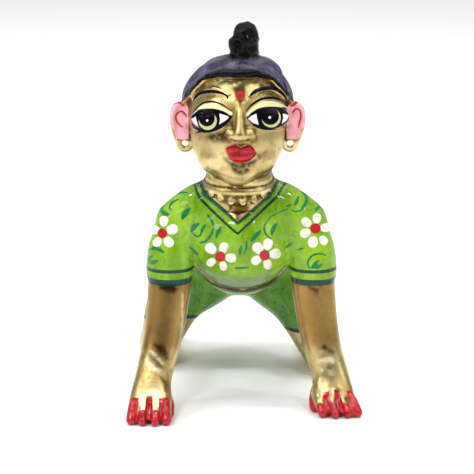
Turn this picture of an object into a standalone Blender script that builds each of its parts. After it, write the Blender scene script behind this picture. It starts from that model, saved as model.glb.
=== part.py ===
"""A baby Radha crawling on both hands and both knees: one small solid brass casting.

Run it with blender --background --python part.py, or from Blender's text editor.
The figure is modelled the way a wax pattern is: rounded masses first, melted together,
then the smaller forms laid on them. It faces -Y, and the floor is at z = 0.
"""

import math

import bmesh
import bpy
import numpy as np
from mathutils import Euler, Matrix, Vector

# Driving dimensions, in metres
HEIGHT = 0.100  # floor to the top of the topknot
LOBE_HOLE = 0.0017  # the hole through each earlobe, for hanging an ornament
TRIANGLES = 9400  # the finished solid's faces

# The pose and the forms are shares of the figure: hundredths of its height
SHARE = HEIGHT / 100
BOX_MIDDLE = Vector((1.8, 18.75, 0.0))  # the middle of the figure's own box
MASS_GRAIN = 0.75  # how fine the large masses are melted together
FORM_GRAIN = 0.5  # how fine the smaller forms are
FILED_FLAT = 0.45  # taken off under the hands, knees and feet, so that they stand flat

# Landmarks and sizes in shares, with x = BODY_X as the body's own middle line. In the
# pairs, -1 is the figure's right side and 1 its left.
BODY_X = 1.0
SHOULDER_Z = 49.0
HEM_Z = 30.2  # where the short sleeves end
NECK_RADIUS = 7.8

HAND_Y = {-1: -15.0, 1: -9.6}  # the right hand reaches further forwards
HAND_X = {-1: 23.4, 1: 23.7}
FINGER_SPREAD = {-1: 0.03, 1: 0.30}
FINGER_GAP = 2.75
PALM = 2.7  # half the thickness of the palm

KNEE = {-1: (-21.7, 27.0, 5.4), 1: (22.9, 20.0, 5.3)}
THIGH = {-1: (-17.0, 32.0, 18.2), 1: (17.2, 28.0, 18.6)}
HIP = {-1: (-8.4, 35.5, 25.6), 1: (9.9, 34.5, 25.6)}
SHIN_WAY = {-1: (0.04, 1.0), 1: (-0.04, 1.0)}  # how the shin runs back and inwards

FACE_X = 0.55  # the face looks a touch to the left of the body's middle
SKULL_AT = (0.0, -2.0, 77.6)
SKULL_SIZE = (12.6, 13.2, 12.9)
BEAD = 0.9  # the radius of one bead of the necklace

HAIRLINE_TURN = (0, 32, 52, 66, 82, 100, 130, 180)  # degrees round from the front
HAIRLINE_Z = (88.5, 88.4, 87.3, 83.4, 81.2, 77.0, 70.5, 68.0)
HAIR_AT = Vector((0, -1.6, 78.4))
HAIR_SIZE = Vector((14.2, 14.0, 13.5))
HAIR_ROLL = 0.85  # the radius of the roll along the hairline
UNDER_HAIR = 0.8  # the cap shrinks to this inside the skull, below the hairline


def share_point(point):
    """A point in metres from one in shares of the height."""
    return (Vector(point) - BOX_MIDDLE) * SHARE


def egg(clay, middle, radii, turn=(0, 0, 0), fineness=24):
    """An ellipsoid, turned by degrees about X, Y and Z."""
    turned = Euler([math.radians(a) for a in turn]).to_matrix().to_4x4()
    stretched = Matrix.Diagonal((*(Vector(radii) * SHARE), 1))
    place = Matrix.Translation(share_point(middle)) @ turned @ stretched
    bmesh.ops.create_uvsphere(
        clay, u_segments=fineness, v_segments=fineness // 2, radius=1, matrix=place
    )


def between(stations, steps):
    """Rows read from a smooth curve through the stations, steps to each span."""
    rows = np.array(stations, float)
    padded = np.vstack([2 * rows[0] - rows[1], rows, 2 * rows[-1] - rows[-2]])
    found = []
    for i in range(1, len(padded) - 2):
        before, here, there, after = padded[i - 1 : i + 3]
        for t in np.arange(steps) / steps:
            found.append(
                0.5
                * (
                    2 * here
                    + (there - before) * t
                    + (2 * before - 5 * here + 4 * there - after) * t**2
                    + (3 * here - before - 3 * there + after) * t**3
                )
            )
    return np.array([*found, rows[-1]])


def limb(clay, stations, squareness=2.0, sides=28, steps=5, across=(1, 0, 0)):
    """A closed tube with round ends. Each station is x, y, z, half width, half depth."""
    rows = between(stations, steps)
    centres = rows[:, :3]
    ways = np.gradient(centres, axis=0)
    ways /= np.linalg.norm(ways, axis=1)[:, None]
    dome = [math.radians(a) for a in (75, 50, 25)]
    ends = []
    for row, way, sign in ((rows[0], ways[0], -1), (rows[-1], ways[-1], 1)):
        reach = min(row[3], row[4])
        ends.append(
            [
                (row[:3] + sign * way * reach * math.sin(a), way, row[3:] * math.cos(a))
                for a in dome
            ]
        )
    rings = [
        *ends[0],
        *((c, w, r) for c, w, r in zip(centres, ways, rows[:, 3:])),
        *reversed(ends[1]),
    ]
    loops = [ring_points(clay, *ring, squareness, sides, across) for ring in rings]
    for low, high in zip(loops, loops[1:]):
        for i in range(sides):
            j = (i + 1) % sides
            clay.faces.new((low[i], low[j], high[j], high[i]))
    clay.faces.new(loops[0][::-1])
    clay.faces.new(loops[-1])


def ring_points(clay, centre, way, radii, squareness, sides, across):
    """One cross-section of a limb. Its width lies as near to across as its way allows."""
    way = Vector(way)
    depth = way.cross(Vector(across)).normalized()
    width = depth.cross(way).normalized()
    found = []
    for i in range(sides):
        a = 2 * math.pi * i / sides
        c, s = math.cos(a), math.sin(a)
        w = math.copysign(abs(c) ** (2 / squareness), c) * radii[0]
        d = math.copysign(abs(s) ** (2 / squareness), s) * radii[1]
        found.append(clay.verts.new(share_point(Vector(centre) + width * w + depth * d)))
    return found


def roll(clay, middle, across, thick, turn=0.0, sides=40):
    """A ring lying round the neck, turned about X by degrees."""
    tilt = Matrix.Rotation(math.radians(turn), 3, "X")
    profile = 12
    loops = []
    for i in range(sides):
        a = 2 * math.pi * i / sides
        out = Vector((math.cos(a), math.sin(a), 0))
        base = Vector((across[0] * out.x, across[1] * out.y, 0))
        loop = []
        for k in range(profile):
            b = 2 * math.pi * k / profile
            point = base + (out * math.cos(b) + Vector((0, 0, math.sin(b)))) * thick
            loop.append(clay.verts.new(share_point(Vector(middle) + tilt @ point)))
        loops.append(loop)
    for i in range(sides):
        here, there = loops[i], loops[(i + 1) % sides]
        for k in range(profile):
            m = (k + 1) % profile
            clay.faces.new((here[k], there[k], there[m], here[m]))


def torso(clay):
    """Chest, shoulders, belly and seat, sloping down to the back."""
    limb(
        clay,
        [
            (BODY_X, 1, 45, 12.8, 10.4),
            (BODY_X, 11, 41.5, 13.6, 11.6),
            (BODY_X, 22, 37, 14.2, 12.4),
            (BODY_X - 0.5, 32, 33, 14.8, 12.6),
        ],
    )
    egg(clay, (BODY_X, 3.2, 43.0), (14.0, 10.6, 12.2))
    egg(clay, (BODY_X, 13.0, 36.0), (12.8, 12.5, 10.4), (-20, 0, 0))
    egg(clay, (BODY_X - 0.5, 34.5, 31.0), (16.0, 13.6, 13.2))
    limb(
        clay,
        [
            (BODY_X - 16.0, 2.2, SHOULDER_Z - 1.2, 6.5, 6.4),
            (BODY_X - 9.5, 2.2, SHOULDER_Z + 3.4, 6.5, 6.5),
            (BODY_X, 2.2, SHOULDER_Z + 5.0, 6.5, 6.6),
            (BODY_X + 9.5, 2.2, SHOULDER_Z + 3.4, 6.5, 6.5),
            (BODY_X + 16.0, 2.2, SHOULDER_Z - 1.2, 6.5, 6.4),
        ],
    )
    egg(clay, (BODY_X / 2, 2.2, 53.8), (12.0, 7.0, 5.6))


def arm(clay, side):
    """Shoulder to knuckles. The side is -1 for the figure's right arm, +1 for its left."""
    reach = HAND_Y[side]
    stations = [
        (15.8, 2.2, SHOULDER_Z - 1.2, 6.4, 6.6),
        (17.6, 1.6, 41.5, 6.3, 6.6),
        (18.3, 0.8, 36.5, 5.9, 6.0),
        (18.8, 0.06 * reach, HEM_Z, 5.6, 5.4),
        (19.9, 0.20 * reach, 21.5, 5.2, 5.0),
        (21.4, 0.36 * reach, 14.5, 4.9, 4.6),
        (HAND_X[side] - 0.7, 0.55 * reach, 9.6, 4.8, 4.0),
        (HAND_X[side] - 0.2, 0.79 * reach, 6.2, 5.4, 3.4),
        (HAND_X[side], reach, 4.3, 5.8, 2.9),
    ]
    limb(clay, [(BODY_X + side * x, y, z, w, d) for x, y, z, w, d in stations], 2.3)


def sleeve(clay, side):
    """The short sleeve stands a little proud of the arm at its hem."""
    stations = [
        (17.7, 1.4, 41.5, 6.4, 6.7),
        (18.3, 0.8, 36.5, 6.25, 6.4),
        (18.8, 0.02 * HAND_Y[side], 31.5, 6.1, 6.0),
    ]
    limb(clay, [(BODY_X + side * x, y, z, w, d) for x, y, z, w, d in stations], 2.2)


def leg(clay, side):
    """Thigh out to the knee, shin back along the floor, foot lying sole up."""
    hip, knee = Vector(HIP[side]), Vector(KNEE[side])
    limb(clay, [(*hip, 9.8, 10.4), (*THIGH[side], 8.0, 8.6), (*knee, 5.4, 5.6)])
    way = Vector((*SHIN_WAY[side], 0))
    calf = knee + way * 9 + Vector((0, 0, 0.2))
    ankle = knee + way * 17 + Vector((0, 0, -1.2))
    limb(clay, [(*knee, 5.2, 5.3), (*calf, 5.5, 5.6), (*ankle, 4.0, 4.1)])
    heel = ankle + way * 3.0 + Vector((0, 0, 1.0))
    ball = ankle + way * 9.5 + Vector((0, 0, -1.2))
    limb(clay, [(*ankle, 3.8, 3.9), (*heel, 4.0, 4.1), (*ball, 4.3, 2.7)])
    return ball, way


def head(clay):
    """Skull, jaw and full cheeks on a thick baby's neck."""
    limb(
        clay,
        [
            (BODY_X / 2, 2.2, 50, 9.6, 7.6),
            (0.4, 1.2, 55, 8.6, 7.4),
            (0.1, -0.6, 59, NECK_RADIUS, 7.2),
            (0, -2, 66, NECK_RADIUS, 7.2),
        ],
    )
    egg(clay, (0.4, 3.4, 60.0), (8.8, 6.6, 8.0), (-12, 0, 0))
    egg(clay, SKULL_AT, SKULL_SIZE, fineness=40)
    egg(clay, (0, -5.2, 71.9), (12.5, 10.2, 10.8), fineness=32)
    for side in (-1, 1):
        egg(clay, (side * 4.8, -8.6, 68.0), (5.5, 5.8, 5.0))
    egg(clay, (0, -10.2, 64.6), (5.0, 4.4, 3.8))


def face(clay):
    """Brow ridges, eyeballs, a narrow straight nose with wide nostrils, and full lips."""
    bridge = [(-13.4, 82.2, 0.9, 0.9), (-15.4, 78.6, 0.95, 1.2), (-17.0, 75.2, 1.35, 1.5)]
    limb(clay, [(FACE_X, *row) for row in bridge], steps=4, sides=16)
    egg(clay, (FACE_X, -16.9, 74.7), (1.7, 1.7, 1.2), fineness=16)
    for side in (-1, 1):
        egg(clay, (FACE_X + side * 2.4, -15.4, 74.5), (1.4, 1.6, 1.2), fineness=16)
        egg(clay, (FACE_X + side * 7.2, -9.4, 78.0), (5.2, 4.5, 3.1), (0, side * 3, side * 18))
        brow = [(2.7, -12.7, 84.1), (7.0, -10.6, 85.4), (11.6, -6.4, 82.0)]
        stations = [(FACE_X + side * x, y, z, 0.55, 0.55) for x, y, z in brow]
        limb(clay, stations, steps=4, sides=12)
        egg(clay, (FACE_X + side * 1.5, -15.2, 70.9), (2.0, 1.2, 0.8), (0, side * 12, 0), 16)
        egg(clay, (FACE_X + side * 1.1, -15.0, 69.2), (2.3, 1.3, 0.95), (0, -side * 8, 0), 16)


def ear(clay, side):
    """A flat ear standing out and facing forwards, with a raised rim and a heavy lobe."""
    upper, lower = Vector((side * 14.5, -1.4, 76.6)), Vector((side * 13.4, -2.0, 71.2))
    egg(clay, upper, (2.7, 0.95, 3.8), (0, side * 8, 0))
    egg(clay, lower, (2.3, 1.0, 3.1), (0, side * 14, 0))
    egg(clay, ear_lobe(side), (2.3, 1.15, 2.3))
    rim = [
        (12.8, -2.2, 79.6),
        (14.2, -2.1, 80.2),
        (15.9, -2.1, 78.8),
        (16.6, -2.1, 75.8),
        (15.9, -2.3, 72.4),
        (15.2, -2.4, 70.4),
    ]
    limb(clay, [(side * x, y, z, 0.62, 0.62) for x, y, z in rim], steps=5, sides=12)


def ear_lobe(side):
    return Vector((side * 13.3, -2.2, 69.8))


def hair(clay):
    """A smooth cap of combed-up hair with a rolled edge in front, and the knot on top."""
    cap = bmesh.new()
    egg(cap, HAIR_AT, HAIR_SIZE, fineness=80)
    middle = share_point(HAIR_AT)
    for vert in cap.verts:
        spot = (vert.co - middle) / SHARE
        turn = math.degrees(math.atan2(abs(spot.x), -spot.y))
        if HAIR_AT.z + spot.z < np.interp(turn, HAIRLINE_TURN, HAIRLINE_Z):
            vert.co = middle.lerp(vert.co, UNDER_HAIR)
    sheet = bpy.data.meshes.new("hair cap")
    cap.to_mesh(sheet)
    cap.free()
    clay.from_mesh(sheet)
    bpy.data.meshes.remove(sheet)
    edge = []
    for turn in range(-96, 97, 8):
        z = np.interp(abs(turn), HAIRLINE_TURN, HAIRLINE_Z) + HAIR_ROLL / 2
        out = 0.955 * math.sqrt(1 - ((z - HAIR_AT.z) / HAIR_SIZE.z) ** 2)
        a = math.radians(turn)
        x, y = out * HAIR_SIZE.x * math.sin(a), HAIR_AT.y - out * HAIR_SIZE.y * math.cos(a)
        edge.append((x, y, z, HAIR_ROLL, HAIR_ROLL))
    limb(clay, edge, steps=2, sides=16, across=(0, 0, 1))
    egg(clay, (0.6, 0.2, 90.6), (5.8, 5.4, 2.5))
    egg(clay, (1.2, 0.3, 92.4), (3.9, 3.8, 3.4), (0, 14, 0))
    egg(clay, (2.1, 0.3, 95.9), (3.4, 3.5, 4.65), (0, -8, 0))
    egg(clay, (-1.4, -0.6, 93.2), (1.7, 2.1, 2.1))


def hand(clay, side):
    """A palm flat on the floor, four fingers laid forwards and a thumb on the inner side."""
    palm = (BODY_X + side * HAND_X[side], HAND_Y[side] + 0.6, PALM)
    egg(clay, palm, (5.6, 4.4, PALM))
    for i in range(4):
        root_x = BODY_X + side * (HAND_X[side] + (i - 1.5) * FINGER_GAP)
        lean = side * (FINGER_SPREAD[side] + (i - 1.5) * 0.05)
        reach = 6.4 - 0.7 * abs(i - 1.3)
        stations = [
            (root_x - lean, HAND_Y[side] + 1.5, 4.9, 1.35, 1.5),
            (root_x + lean * 2.4, HAND_Y[side] - 2.4, 3.7, 1.3, 1.45),
            (root_x + lean * reach, HAND_Y[side] - reach + 1.0, 1.75, 1.3, 1.35),
        ]
        limb(clay, stations, sides=14, steps=4)
    thumb = [(-4.0, 5.0, 5.0), (-4.7, 2.2, 3.4), (-4.7, -0.2, 1.8)]
    stations = [
        (BODY_X + side * (HAND_X[side] + x), HAND_Y[side] + y, z, 1.5, 1.4)
        for x, y, z in thumb
    ]
    limb(clay, stations, sides=14)


def toes(clay, ball, way, side):
    """Five round toes, the big one on the inner side, tucked under against the floor."""
    across = Vector((way.y, -way.x, 0)).normalized() * side
    for i in range(5):
        size = 1.6 if i == 0 else 1.25 - 0.06 * i
        middle = ball + way * (3.0 - 0.4 * i) - across * (3.2 - 1.65 * i)
        egg(clay, (middle.x, middle.y, size), (size, size * 1.6, size * 1.1), fineness=16)


def necklace(clay):
    """The two folds of the neck and a string of round beads below them."""
    roll(clay, (0.3, -0.5, 60.7), (7.6, 7.1), 1.05)
    roll(clay, (0.4, -0.2, 58.4), (8.2, 7.4), 1.1)
    beads = 24
    for i in range(beads):
        a = 2 * math.pi * (i + 0.5) / beads
        rise = 3.4 * (1 - math.exp(-1.6 * (1 + math.sin(a))))
        middle = (0.6 + 9.1 * math.cos(a), 7.5 * math.sin(a), 55.65 + rise)
        egg(clay, middle, (BEAD, BEAD, BEAD), fineness=10)


def finish_in_metal(obj):
    """The solid's own material: polished brass."""
    brass = bpy.data.materials.new("cast brass")
    brass.use_nodes = True
    shader = brass.node_tree.nodes["Principled BSDF"]
    shader.inputs["Base Color"].default_value = (0.72, 0.53, 0.22, 1)
    shader.inputs["Metallic"].default_value = 1.0
    shader.inputs["Roughness"].default_value = 0.28
    obj.data.materials.clear()
    obj.data.materials.append(brass)


def put_in_scene(name, clay):
    bmesh.ops.recalc_face_normals(clay, faces=clay.faces)
    mesh = bpy.data.meshes.new(name)
    clay.to_mesh(mesh)
    clay.free()
    obj = bpy.data.objects.new(name, mesh)
    bpy.context.scene.collection.objects.link(obj)
    return obj


def melt_together(obj, grain, passes):
    """Joins the overlapping masses into one skin and softens where they meet."""
    melt = obj.modifiers.new("Melt", "REMESH")
    melt.mode = "VOXEL"
    melt.voxel_size = grain * SHARE
    soften = obj.modifiers.new("Soften", "SMOOTH")
    soften.factor = 0.5
    soften.iterations = passes


def baked(obj):
    """The object's mesh with its modifiers applied. The object itself is removed."""
    graph = bpy.context.evaluated_depsgraph_get()
    mesh = bpy.data.meshes.new_from_object(obj.evaluated_get(graph))
    bpy.data.objects.remove(obj)
    return mesh


def cutter(name, clay):
    obj = put_in_scene(name, clay)
    obj.hide_render = True
    obj.display_type = "WIRE"
    return obj


def floor_cutter():
    """Everything below the floor, which is filed off so that the figure stands flat."""
    clay = bmesh.new()
    size = Vector((150, 150, 20)) * SHARE
    place = Matrix.Translation((0, 0, -size.z / 2)) @ Matrix.Diagonal((*size, 1))
    bmesh.ops.create_cube(clay, size=1, matrix=place)
    return cutter("floor cutter", clay)


def lobe_cutter(side):
    """A round drill through an earlobe, front to back."""
    clay = bmesh.new()
    lie = Matrix.Rotation(math.radians(90), 4, "X")
    place = Matrix.Translation(share_point(ear_lobe(side))) @ lie
    bmesh.ops.create_cone(
        clay,
        cap_ends=True,
        segments=14,
        radius1=LOBE_HOLE / 2,
        radius2=LOBE_HOLE / 2,
        depth=8 * SHARE,
        matrix=place,
    )
    return cutter(f"lobe drill {side:+d}", clay)


def make_figure():
    masses = bmesh.new()
    torso(masses)
    head(masses)
    feet = []
    for side in (-1, 1):
        arm(masses, side)
        feet.append((*leg(masses, side), side))
    large = put_in_scene("masses", masses)
    melt_together(large, MASS_GRAIN, 16)

    forms = bmesh.new()
    hair(forms)
    face(forms)
    necklace(forms)
    for side in (-1, 1):
        ear(forms, side)
        sleeve(forms, side)
        hand(forms, side)
    for ball, way, side in feet:
        toes(forms, ball, way, side)
    forms.from_mesh(baked(large))
    figure = put_in_scene("baby_radha_figure", forms)
    melt_together(figure, FORM_GRAIN, 2)

    mesh = baked(figure)
    mesh.transform(Matrix.Translation((0, 0, -FILED_FLAT * SHARE)))
    figure = bpy.data.objects.new("baby_radha_figure", mesh)
    bpy.context.scene.collection.objects.link(figure)
    mesh.calc_loop_triangles()
    thin = figure.modifiers.new("Thin out", "DECIMATE")
    thin.ratio = TRIANGLES / len(mesh.loop_triangles)
    for tool in (floor_cutter(), lobe_cutter(-1), lobe_cutter(1)):
        cut = figure.modifiers.new(tool.name, "BOOLEAN")
        cut.operation = "DIFFERENCE"
        cut.solver = "EXACT"
        cut.object = tool
    finish_in_metal(figure)
    figure.data.shade_smooth()


for old in list(bpy.data.objects):
    bpy.data.objects.remove(old)
make_figure()
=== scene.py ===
"""A painted brass baby Radha crawling on hands and knees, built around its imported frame.

The casting is melted together from the same rounded forms as the solid, at a finer grain,
then chased and painted: leaf-green blouse, deeper green trousers, blue-black hair, pink
ears, red lips and fingertips, and the eyes drawn with a fine brush.
"""

import math

import bpy
import numpy as np
from mathutils import Euler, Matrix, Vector


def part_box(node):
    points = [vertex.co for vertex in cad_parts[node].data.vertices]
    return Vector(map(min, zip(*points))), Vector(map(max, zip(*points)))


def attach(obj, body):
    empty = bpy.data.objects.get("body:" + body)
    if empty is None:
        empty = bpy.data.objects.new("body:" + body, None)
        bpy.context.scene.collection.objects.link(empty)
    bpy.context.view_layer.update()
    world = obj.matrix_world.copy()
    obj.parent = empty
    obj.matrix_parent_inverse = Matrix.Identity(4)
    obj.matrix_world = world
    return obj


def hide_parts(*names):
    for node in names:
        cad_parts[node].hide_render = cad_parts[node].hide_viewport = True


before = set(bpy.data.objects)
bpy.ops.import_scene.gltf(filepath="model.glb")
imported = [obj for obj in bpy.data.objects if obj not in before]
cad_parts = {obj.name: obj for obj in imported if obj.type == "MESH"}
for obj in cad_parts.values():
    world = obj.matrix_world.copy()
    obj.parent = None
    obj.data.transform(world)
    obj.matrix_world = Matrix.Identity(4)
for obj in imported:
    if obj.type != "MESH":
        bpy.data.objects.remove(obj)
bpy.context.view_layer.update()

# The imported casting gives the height, and shares are hundredths of it
low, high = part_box("baby_radha_figure")
SHARE = (high[2] - low[2]) / 100
BOX_MIDDLE = np.array((1.8, 18.75, 0.45))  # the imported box's middle, on the filed floor
MASS_GRAIN = 0.55
MASS_PASSES = 30
FORM_GRAIN = 0.3
FORM_PASSES = 5
TRIANGLES = 74000

# Landmarks and sizes in shares, the same as the solid's
BODY_X = 1.0
SHOULDER_Z = 49.0
HEM_Z = 30.2
NECK_RADIUS = 7.8
SIDES = (-1, 1)  # the figure's right side and its left
HAND_Y = {-1: -15.0, 1: -9.6}
HAND_X = {-1: 23.4, 1: 23.7}
FINGER_SPREAD = {-1: 0.03, 1: 0.30}
FINGER_GAP = 2.75
PALM = 2.7
KNEE = {-1: (-22.3, 27.0, 5.4), 1: (23.5, 20.0, 5.3)}
THIGH = {-1: (-17.0, 32.0, 18.2), 1: (17.2, 28.0, 18.6)}
HIP = {-1: (-8.4, 35.5, 25.6), 1: (9.9, 34.5, 25.6)}
SHIN_WAY = {-1: (0.04, 1.0), 1: (-0.04, 1.0)}
FACE_X = 0.55
SKULL_AT = (0.0, -2.0, 77.6)
SKULL_SIZE = (12.6, 13.2, 12.9)
BEAD = 0.95
BEADS = 19
HAIRLINE_TURN = (0, 32, 52, 66, 82, 100, 130, 180)
HAIRLINE_Z = (88.5, 88.4, 87.3, 83.4, 81.2, 77.0, 70.5, 68.0)
HAIR_AT = np.array((0, -1.6, 78.4))
HAIR_SIZE = np.array((14.2, 14.0, 13.5))
HAIR_ROLL = 0.85
UNDER_HAIR = 0.8
LOBE_HOLE = 1.7
CLEFT = 0.8
HAND_INSIDE = 14  # the hands lie further out than this
RED_CLEFTS = {-1: (0.0, -1.15, -1.5), 1: (0.0, -1.0)}  # across the fingers, inner side first

# The painter's view of the front: its drawing is in shares right and up from AIM
AIM = np.array((-0.16, -0.4, 44.75))
VIEW_DISTANCE = 480.0
VIEW_RISE = math.radians(15)
VIEW_WIDTH = 122.1
OUTSIDE = -1.5  # the depth of every point that a stroke or a patch doesn't reach


# Wax forms


class Wax:
    """Closed forms gathered as points and faces, in shares."""

    def __init__(self):
        self.points, self.faces, self.count = [], [], 0

    def add(self, points, faces):
        self.points.append(np.asarray(points, float))
        self.faces += [tuple(int(i) + self.count for i in face) for face in faces]
        self.count += len(points)


def turned(degrees):
    return np.array(Euler([math.radians(a) for a in degrees]).to_matrix())


def egg(wax, middle, radii, turn=(0, 0, 0), fineness=36):
    """An ellipsoid, turned by degrees about X, Y and Z."""
    unit, faces = ball_mesh(fineness)
    wax.add((unit * radii) @ turned(turn).T + middle, faces)


def ball_mesh(fineness):
    rings = fineness // 2
    lift = math.pi * (np.arange(1, rings) / rings - 0.5)
    turn = 2 * math.pi * np.arange(fineness) / fineness
    lift, turn = np.meshgrid(lift, turn, indexing="ij")
    shell = np.stack([np.cos(lift) * np.cos(turn), np.cos(lift) * np.sin(turn), np.sin(lift)], -1)
    points = [*shell.reshape(-1, 3), (0, 0, -1), (0, 0, 1)]
    bottom, top = len(points) - 2, len(points) - 1
    faces = skin(rings - 1, fineness)
    last = (rings - 2) * fineness
    for i in range(fineness):
        j = (i + 1) % fineness
        faces += [(bottom, j, i), (top, last + i, last + j)]
    return np.array(points), faces


def skin(loops, sides):
    """The faces between loops of points that lie one above another."""
    found = []
    for k in range(loops - 1):
        for i in range(sides):
            j = (i + 1) % sides
            found.append((k * sides + i, k * sides + j, k * sides + sides + j, k * sides + sides + i))
    return found


def between(stations, steps):
    """Rows read from a smooth curve through the stations, steps to each span."""
    rows = np.array(stations, float)
    padded = np.vstack([2 * rows[0] - rows[1], rows, 2 * rows[-1] - rows[-2]])
    found = []
    for i in range(1, len(padded) - 2):
        before, here, there, after = padded[i - 1 : i + 3]
        for t in np.arange(steps) / steps:
            slope, bend = there - before, 2 * before - 5 * here + 4 * there - after
            twist = 3 * here - before - 3 * there + after
            found.append(here + 0.5 * (slope * t + bend * t**2 + twist * t**3))
    return np.array([*found, rows[-1]])


def limb(wax, stations, squareness=2.0, sides=36, steps=8, across=(1, 0, 0)):
    """A closed tube with round ends. Each station is x, y, z, half width, half depth."""
    rows = between(stations, steps)
    centres = rows[:, :3]
    ways = np.gradient(centres, axis=0)
    ways /= np.linalg.norm(ways, axis=1)[:, None]
    dome = [math.radians(a) for a in (80, 65, 50, 35, 18)]
    ends = []
    for row, way, sign in ((rows[0], ways[0], -1), (rows[-1], ways[-1], 1)):
        reach = min(row[3], row[4])
        tip = sign * way * reach
        ends.append([(row[:3] + tip * math.sin(a), way, row[3:] * math.cos(a)) for a in dome])
    rings = [*ends[0], *zip(centres, ways, rows[:, 3:]), *reversed(ends[1])]
    turn = 2 * math.pi * np.arange(sides) / sides
    c, s = np.cos(turn), np.sin(turn)
    wide = np.sign(c) * np.abs(c) ** (2 / squareness)
    deep = np.sign(s) * np.abs(s) ** (2 / squareness)
    loops = []
    for centre, way, radii in rings:
        depth = np.cross(way, across)
        depth /= np.linalg.norm(depth)
        width = np.cross(depth, way)
        loops.append(centre + np.outer(wide * radii[0], width) + np.outer(deep * radii[1], depth))
    faces = skin(len(loops), sides)
    last = (len(loops) - 1) * sides
    faces += [tuple(range(sides))[::-1], tuple(range(last, last + sides))]
    wax.add(np.concatenate(loops), faces)


def roll(wax, middle, across, thick, sides=80, profile=16):
    """A ring lying round the neck."""
    loops = []
    for i in range(sides + 1):
        a = 2 * math.pi * i / sides
        out = np.array((math.cos(a), math.sin(a), 0))
        base = np.array((*across, 0)) * out + middle
        turn = 2 * math.pi * np.arange(profile) / profile
        loops.append(base + thick * (np.outer(np.cos(turn), out) + np.outer(np.sin(turn), (0, 0, 1))))
    faces = skin(sides + 1, profile)
    count = sides * profile
    wax.add(np.concatenate(loops[:-1]), [tuple(i % count for i in face) for face in faces])


# The figure's forms


def torso(wax):
    """Chest, shoulders, belly and seat, sloping down to the back."""
    limb(
        wax,
        [
            (BODY_X, 1, 45, 12.8, 10.4),
            (BODY_X, 11, 41.5, 13.6, 11.6),
            (BODY_X, 22, 37, 14.2, 12.4),
            (BODY_X - 0.5, 32, 33, 14.8, 12.6),
        ],
    )
    egg(wax, (BODY_X, 3.2, 43.0), (14.0, 10.6, 12.2))
    egg(wax, (BODY_X, 13.0, 36.0), (12.8, 12.5, 10.4), (-20, 0, 0))
    egg(wax, (BODY_X - 0.5, 34.5, 31.6), (16.0, 13.6, 12.6))
    yoke = [(-16.0, -1.2, 6.4), (-9.5, 3.4, 6.5), (0, 5.0, 6.6), (9.5, 3.4, 6.5), (16.0, -1.2, 6.4)]
    limb(wax, [(BODY_X + x, 2.2, SHOULDER_Z + z, 6.5, deep) for x, z, deep in yoke])
    egg(wax, (BODY_X / 2, 2.2, 53.8), (12.0, 7.0, 5.6))


def arm(wax, side):
    """Shoulder to knuckles."""
    reach = HAND_Y[side]
    stations = [
        (15.8, 2.2, SHOULDER_Z - 1.2, 6.4, 6.6),
        (17.6, 1.6, 41.5, 6.3, 6.6),
        (18.3, 0.8, 36.5, 5.9, 6.0),
        (18.8, 0.06 * reach, HEM_Z, 5.6, 5.4),
        (19.9, 0.20 * reach, 21.5, 5.2, 5.0),
        (21.4, 0.36 * reach, 14.5, 4.9, 4.6),
        (HAND_X[side] - 0.7, 0.55 * reach, 9.6, 4.8, 4.0),
        (HAND_X[side] - 0.2, 0.79 * reach, 6.2, 5.4, 3.4),
        (HAND_X[side], reach, 4.3, 5.8, 2.9),
    ]
    limb(wax, [(BODY_X + side * x, y, z, w, d) for x, y, z, w, d in stations], 2.3)


def sleeve(wax, side):
    """The short sleeve stands a little proud of the arm at its hem."""
    stations = [
        (17.7, 1.4, 41.5, 6.4, 6.7),
        (18.3, 0.8, 38.5, 6.25, 6.5),
        (18.6, 0.5, 35.6, 6.15, 6.25),
    ]
    limb(wax, [(BODY_X + side * x, y, z, w, d) for x, y, z, w, d in stations], 2.2)


def leg(wax, side):
    """Thigh out to the knee, shin back along the floor, foot lying sole up."""
    hip, knee = np.array(HIP[side]), np.array(KNEE[side])
    limb(wax, [(*hip, 9.8, 10.4), (*THIGH[side], 8.0, 8.6), (*knee, 4.9, 5.6)])
    way = np.array((*SHIN_WAY[side], 0))
    calf = knee + way * 9 + (0, 0, 0.2)
    ankle = knee + way * 17 + (0, 0, -1.2)
    limb(wax, [(*knee, 4.8, 5.3), (*calf, 5.5, 5.6), (*ankle, 4.0, 4.1)])
    heel = ankle + way * 3.0 + (0, 0, 1.0)
    ball = ankle + way * 9.5 + (0, 0, -1.2)
    limb(wax, [(*ankle, 3.8, 3.9), (*heel, 4.0, 4.1), (*ball, 4.3, 2.7)])
    return ball, way


def head(wax):
    """Skull, jaw and full cheeks on a thick baby's neck."""
    neck = [
        (BODY_X / 2, 2.2, 50, 9.6, 7.6),
        (0.4, 1.2, 55, 8.6, 7.4),
        (0.1, -0.6, 59, NECK_RADIUS, 7.2),
        (0, -2, 66, NECK_RADIUS, 7.2),
    ]
    limb(wax, neck)
    egg(wax, (0.4, 3.4, 60.0), (8.8, 6.6, 8.0), (-12, 0, 0))
    egg(wax, SKULL_AT, SKULL_SIZE, fineness=60)
    egg(wax, (0, -5.2, 71.9), (11.9, 10.2, 10.7), fineness=48)
    for side in SIDES:
        egg(wax, (side * 4.8, -8.6, 68.0), (5.5, 5.8, 5.0))
    egg(wax, (0, -10.2, 64.6), (5.0, 4.4, 3.8))


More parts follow.
